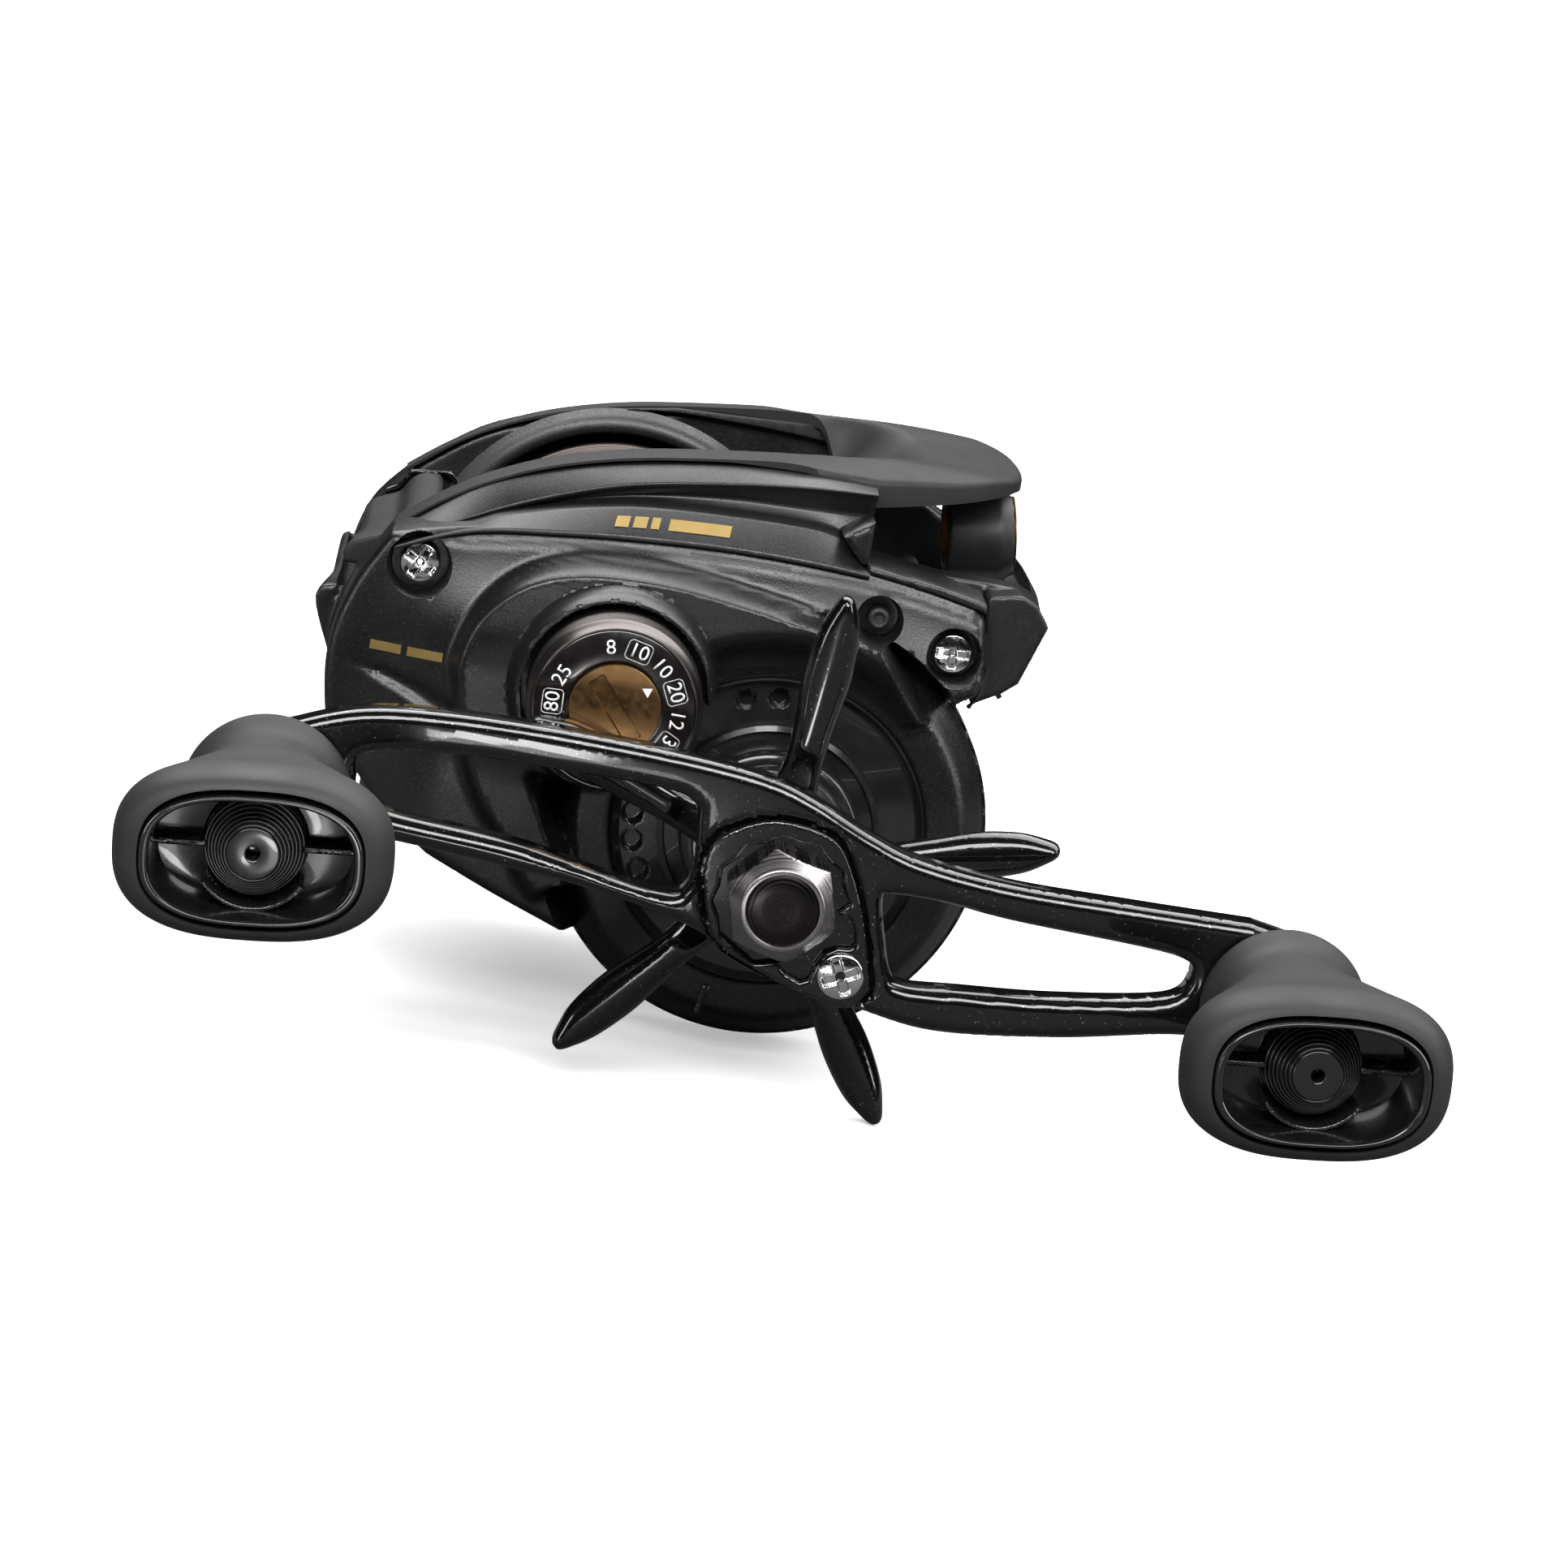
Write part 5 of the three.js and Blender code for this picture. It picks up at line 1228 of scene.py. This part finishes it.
def build_retainer():
    """A plate whose cut-out has points round the nut and a tail that meets the screw."""
    star_points = [turn([(6.25 if i % 2 else 5.8, 0)], 7 + 15 * (i - 1))[0] for i in range(1, 17)]
    tail = [
        (-1.6, -6.0), (0.8, -5.4), (0.85, -6.0), (1.3, -6.45), (2.85, -7.1), (3.6, -6.75), (3.9, -5.4),
        (4.6, -4.1), (5.8, -3.4), (7.0, -3.3), (7.3, -2.9), (7.2, -2.0), (6.8, -0.85), (6.3, -0.4),
        (5.7, -0.4), (5.2, -0.2),
    ]
    hole = np.array([*star_points, *tail]) + DRIVE
    outside = in_handle(teardrop(0))
    plate("retainer_plate", [outside, hole], HANDLE_FACE - 0.3, HANDLE_FACE + 0.5, 0.25, "drive",
          "gloss_black", ["nut_retainer"], 0.25, sharp=60)
    screw("retainer_screw_head", RETAINER_SCREW, -53.0, -51.6, 2.2, ["retainer_screw"], 25, "drive")


def build_nut():
    across, turned_by = 4.7, math.radians(14)

    def hexed(r, y, angle):
        sector = (angle - turned_by + math.pi / 6) % (math.pi / 3) - math.pi / 6
        return np.minimum(r, across / np.cos(sector)), y

    cone = [(r, -55 + 1.15 * (r - 3.75)) for r in np.linspace(5.4, 3.78, 16)]
    rows = [(2.5, -51.5), (5.4, -51.5), *cone, (3.7, -55.0), (3.4, -55.0), (3.32, -54.9), (3.3, -54.4)]
    turned("nut_body", DRIVE, rows, "drive", "gunmetal", ["handle_nut"], 360, 0, hexed, 28, "nut_metal")
    disc = [(3.29, -54.5), (3.29, -54.78), (3.2, -54.84), (1.6, -54.82), (0.01, -54.8)]
    turned("nut_disc", DRIVE, disc, "drive", "gunmetal", (), 120, 0, look="disc_metal")


build_handle()
build_retainer()
build_nut()


# ---- Handle knobs ----
def build_knob(side):
    at = KNOBS[side]
    tilt = HANDLE_TILT + math.radians(8.3)
    body = "knob_" + side
    rib_front, rib_back = -69.6, -66.8

    def squarish(profile, least):
        """A turned net whose outer part is a squarish oval, `least` as wide as it is long."""
        angle = np.linspace(0, 2 * np.pi, 120, endpoint=False)
        across, up = np.cos(angle), np.sin(angle)
        rows = []
        for r, y in profile:
            out = smoothstep(-y, 56, 69) * (r > 5)
            power = 1 - 0.24 * out  # below 1, the oval's corners fill out
            x = r * (1 - 0.045 * out) * np.sign(across) * np.abs(across) ** power
            z = r * (1 - (1 - least) * out) * np.sign(up) * np.abs(up) ** power
            radius, heading = np.hypot(x, z), np.arctan2(z, x) + tilt
            x, z = at[0] + radius * np.cos(heading), at[1] + radius * np.sin(heading)
            rows.append(np.stack([x, np.full(len(x), y), z], axis=1))
        return grid(rows)

    def knob_plate(name, loop, front, grain):
        plate(name, [turn(loop, math.degrees(tilt), at)], front, rib_back, 0.1, body, "insert_gloss",
              grain=grain)

    grip = spline([(7.75, -51.9), (7.6, -52.6), (7.0, -54.2), (6.8, -56), (7.05, -58), (7.7, -60.2),
                   (9.3, -63.2), (11.0, -66), (12.2, -68.3), (12.7, -70.5), (12.35, -72.6),
                   (11.6, -73.9), (10.7, -74.5)], 5)
    profile = [(2.3, -50.9), (7.0, -50.9), (7.5, -51.1), (7.7, -51.5), *grip, (10.2, -74.6), (10.1, -73),
               (9.9, -66), (2.3, -66)]
    piece("grip_" + side, *squarish(profile, 0.61), body, "grip_rubber", ["knob_grip_" + side], 60)
    insert = [(10.0, -70), (10.05, -74.55), (9.95, -74.85), (9.75, -74.98), (9.45, -74.98), (9.25, -74.85),
              (9.12, -74.4), (8.9, -67), (4.6, -67)]
    steps = [(4.5, -67.2)]
    for r, y in zip(np.linspace(4.4, 2.6, 7), np.linspace(-69.2, -71.7, 7)):
        steps += [(r, y), (r - 0.06, y - 0.12), (r - 0.2, y - 0.14), (r - 0.26, y - 0.05)]
    cone = [*steps, (2.3, -71.9), (2.2, -72), (0.72, -72), (0.6, -71.9), (0.6, -69.5), (0.01, -69.5)]
    net = squarish(rounded([*insert, *cone], 0.06, 2), 0.57)
    piece("insert_" + side, *net, body, "insert_gloss", ["knob_insert_" + side], 60)
    for name, x0, x1 in (("a", -8.9, -4.2), ("b", 4.2, 8.9)):
        rib = outline((x0, -0.25), (x1, -0.25), (x1, 0.25), (x0, 0.25))
        knob_plate(f"rib_{name}_{side}", rib, rib_front, 0.5)
    guard = np.array([*arc((0, 0), 5.0, -145, -35, 24), *arc((0, 0), 5.35, -35, -145, 24)])
    knob_plate("guard_" + side, guard, -71.2, 0.4)


for side in KNOBS:
    build_knob(side)


# ---- Level wind ----
def build_level_wind():
    tilt = math.radians(8)
    eye = np.array([35.4, 35.3])

    def along_x(profile, segments=72):
        """A closed profile of [radius, along] pairs turned about the eye's own axis."""
        angle = np.linspace(0, 2 * np.pi, segments, endpoint=False)
        rows = []
        for r, s in profile:
            y, up = r * np.cos(angle), r * np.sin(angle)
            x = eye[0] + s * math.cos(tilt) - up * math.sin(tilt)
            z = eye[1] + s * math.sin(tilt) + up * math.cos(tilt)
            rows.append(np.stack([x, y, z], axis=1))
        return grid(rows)

    barrel = temp_object(*along_x([(3.75, -3.45), (4.35, -3.45), (4.5, -3.2), (4.5, 1.9), (4.0, 3.35),
                                   (3.75, 3.35), (3.75, -3.45)]))
    adds = [
        barrel,
        tube(WORM, 3.1, 3.6, -3.5, 3.5),
        slab(outline((33.0, 28.8), (32.6, 33.2), (39.0, 33.4), (39.1, 32.6), (38.1, 31.6), (36.7, 31.3),
                     (36.0, 30.2), (35.9, 28.8)), -3.4, 3.4),
        block(GUIDE_ROD[0] - 1.6, 34, -2.4, 2.4, GUIDE_ROD[1] - 1.6, GUIDE_ROD[1] + 1.6),
    ]
    cuts = [temp_object(*along_x([(0.01, -5), (3.75, -5), (3.75, 5), (0.01, 5), (0.01, -5)])),
            rod(WORM, 3.1, -5, 5), rod(GUIDE_ROD, 1.1, -5, 5)]
    cast("guide_block", adds, cuts, "guide", "inner_plastic", ["line_guide"], 0.16, 4)
    rim = rounded([(2.9, -3.5), (4.0, -3.5), (4.0, -3.3), (3.6, -3.25), (3.6, 3.25), (4.0, 3.3), (4.0, 3.5),
                   (2.9, 3.5), (2.9, -3.5)], 0.15)
    piece("guide_eye", *along_x(rim), "guide", "bronze", ["line_guide_ring"], 50)
    # The worm's crossed groove, cut one way and back along the shaft.
    turns, groove_half = 5, 11.5

    def grooved(r, y, angle):
        depth = np.zeros_like(y)
        if abs(y[0]) < groove_half:
            phase = np.pi * turns * (y[0] + groove_half) / groove_half
            for direction in (1, -1):
                off = np.abs((angle - direction * phase + np.pi) % (2 * np.pi) - np.pi)
                depth = np.maximum(depth, 0.5 * (1 - smoothstep(off, 0.35, 0.6)))
        return r - depth * (r > 1.5), y

    thread = [(2.0, y) for y in np.arange(-12.5, 12.6, 0.2)]
    rows = [(1.2, -19.3), (1.2, -17.3), (2.0, -17.3), *thread, (2.0, 15.8), (0.01, 15.8)]
    turned("worm_screw", WORM, rows, "worm", "steel", ["worm_shaft"], 72, 0, grooved, 50)
    bar = [(0.01, -15.5), (0.95, -15.5), (0.95, 15.5), (0.01, 15.5)]
    turned("guide_bar", GUIDE_ROD, bar, "body", "steel", ["guide_rod"], 48, 0.1)


build_level_wind()


# ---- Studio ----
def area_light(name, where, target, size, power):
    data = bpy.data.lights.new(name, "AREA")
    data.shape = "RECTANGLE"
    data.size, data.size_y = size
    data.energy = power
    obj = bpy.data.objects.new(name, data)
    bpy.context.collection.objects.link(obj)
    obj.location = where
    obj.rotation_euler = (Vector(target) - Vector(where)).to_track_quat("-Z", "Y").to_euler()


# White cards on the table in front of the camera's view, for the upright faces to mirror:
# a near corner, a far corner and a strength each.
CARDS = (((-0.03, -0.27), (-0.002, -0.19), 16.0), ((-0.03, -0.182), (0.016, -0.14), 3.0))


def card_mask(tree, where, low, high):
    """1 on a rectangle of the floor, soft at its edges."""
    parts = wire(tree, "ShaderNodeSeparateXYZ", {"Vector": where})
    mask = 1.0
    for axis, a, b in zip("XY", low, high):
        middle, half = (a + b) / 2, (b - a) / 2
        off = maths(tree, "SUBTRACT", parts.outputs[axis], middle)
        far = maths(tree, "ABSOLUTE", off)
        inside = remap(tree, far, half - 0.004, half + 0.004, 1.0, 0.0)
        mask = maths(tree, "MULTIPLY", inside, mask)
    return mask


def paint_floor():
    """Pale paper, lit evenly to the camera however far it is, and dim to the reel."""
    tree, shader, where = material("floor_paper", (0.8, 0.8, 0.8), 0.9)
    rays = wire(tree, "ShaderNodeLightPath", {}).outputs["Is Camera Ray"]
    tint(tree, shader, rays, (0.07, 0.07, 0.07), (0.8, 0.8, 0.8))
    away = vector_maths(tree, "LENGTH", where)["Value"]
    far = remap(tree, away, 0.12, 0.5, 0.4, 1.0)
    fibre = remap(tree, noise(tree, where, 30, 2.0), 0, 1, 0.97, 1.03)
    lit = maths(tree, "MULTIPLY", far, fibre)
    glow = maths(tree, "MULTIPLY", lit, rays)
    for low, high, shine in CARDS:
        card = card_mask(tree, where, low, high)
        seen = maths(tree, "SUBTRACT", 1.0, rays)
        shown = maths(tree, "MULTIPLY", card, seen)
        glow = maths(tree, "MULTIPLY_ADD", shown, shine, glow)
    shader.inputs["Emission Color"].default_value = (1, 1, 1, 1)
    tree.links.new(glow, shader.inputs["Emission Strength"])


def build_world():
    """White to the camera; to the reel, a dim room that is lighter overhead."""
    world = bpy.data.worlds.new("studio")
    bpy.context.scene.world = world
    world.use_nodes = True
    tree = world.node_tree
    sky = wire(tree, "ShaderNodeTexCoord", {}).outputs["Generated"]
    height = wire(tree, "ShaderNodeSeparateXYZ", {"Vector": sky}).outputs["Z"]
    room = remap(tree, height, 0.0, 1.0, 0.14, 0.3)
    rays = wire(tree, "ShaderNodeLightPath", {})
    mix = wire(tree, "ShaderNodeMix", {"Factor": rays.outputs["Is Camera Ray"], "A": room, "B": 1.0})
    tree.links.new(mix.outputs["Result"], tree.nodes["Background"].inputs["Strength"])


def build_studio():
    reach, z = 4.0, CAD_BOUNDS[0][2] - 0.0002
    corners = [(-reach, -reach, z), (reach, -reach, z), (reach, reach, z), (-reach, reach, z)]
    floor_mesh = bpy.data.meshes.new("floor")
    floor_mesh.from_pydata(corners, [], [(0, 1, 2, 3)])
    paint_floor()
    floor_mesh.materials.append(LOOKS["floor_paper"])
    floor = bpy.data.objects.new("floor", floor_mesh)
    bpy.context.collection.objects.link(floor)
    build_world()
    middle = (0.015, -0.02, 0.02)
    area_light("front", (-0.04, -0.58, 0.5), middle, (0.95, 0.3), 10)
    area_light("back", (0.16, 0.27, 0.64), middle, (1.6, 0.6), 15)
    area_light("left", (-0.7, -0.32, 0.16), middle, (0.14, 0.5), 1.5)
    area_light("right", (0.7, -0.25, 0.3), middle, (0.16, 0.5), 1.8)


def build_camera():
    data = bpy.data.cameras.new("camera")
    data.lens = 106.2
    data.sensor_width = 36
    data.clip_start = 0.01
    camera = bpy.data.objects.new("camera", data)
    bpy.context.collection.objects.link(camera)
    forward = Vector((0.08624, 0.97026, -0.2262))
    up = Vector((-0.14361, 0.23678, 0.96089))
    right = forward.cross(up)
    turn_to = Matrix((right, up, -forward)).transposed().to_4x4()
    camera.matrix_world = Matrix.Translation((-0.02058, -0.45765, 0.11361)) @ turn_to
    bpy.context.scene.camera = camera


build_studio()
build_camera()
bpy.context.scene.view_settings.view_transform = "Standard"
bpy.context.view_layer.update()
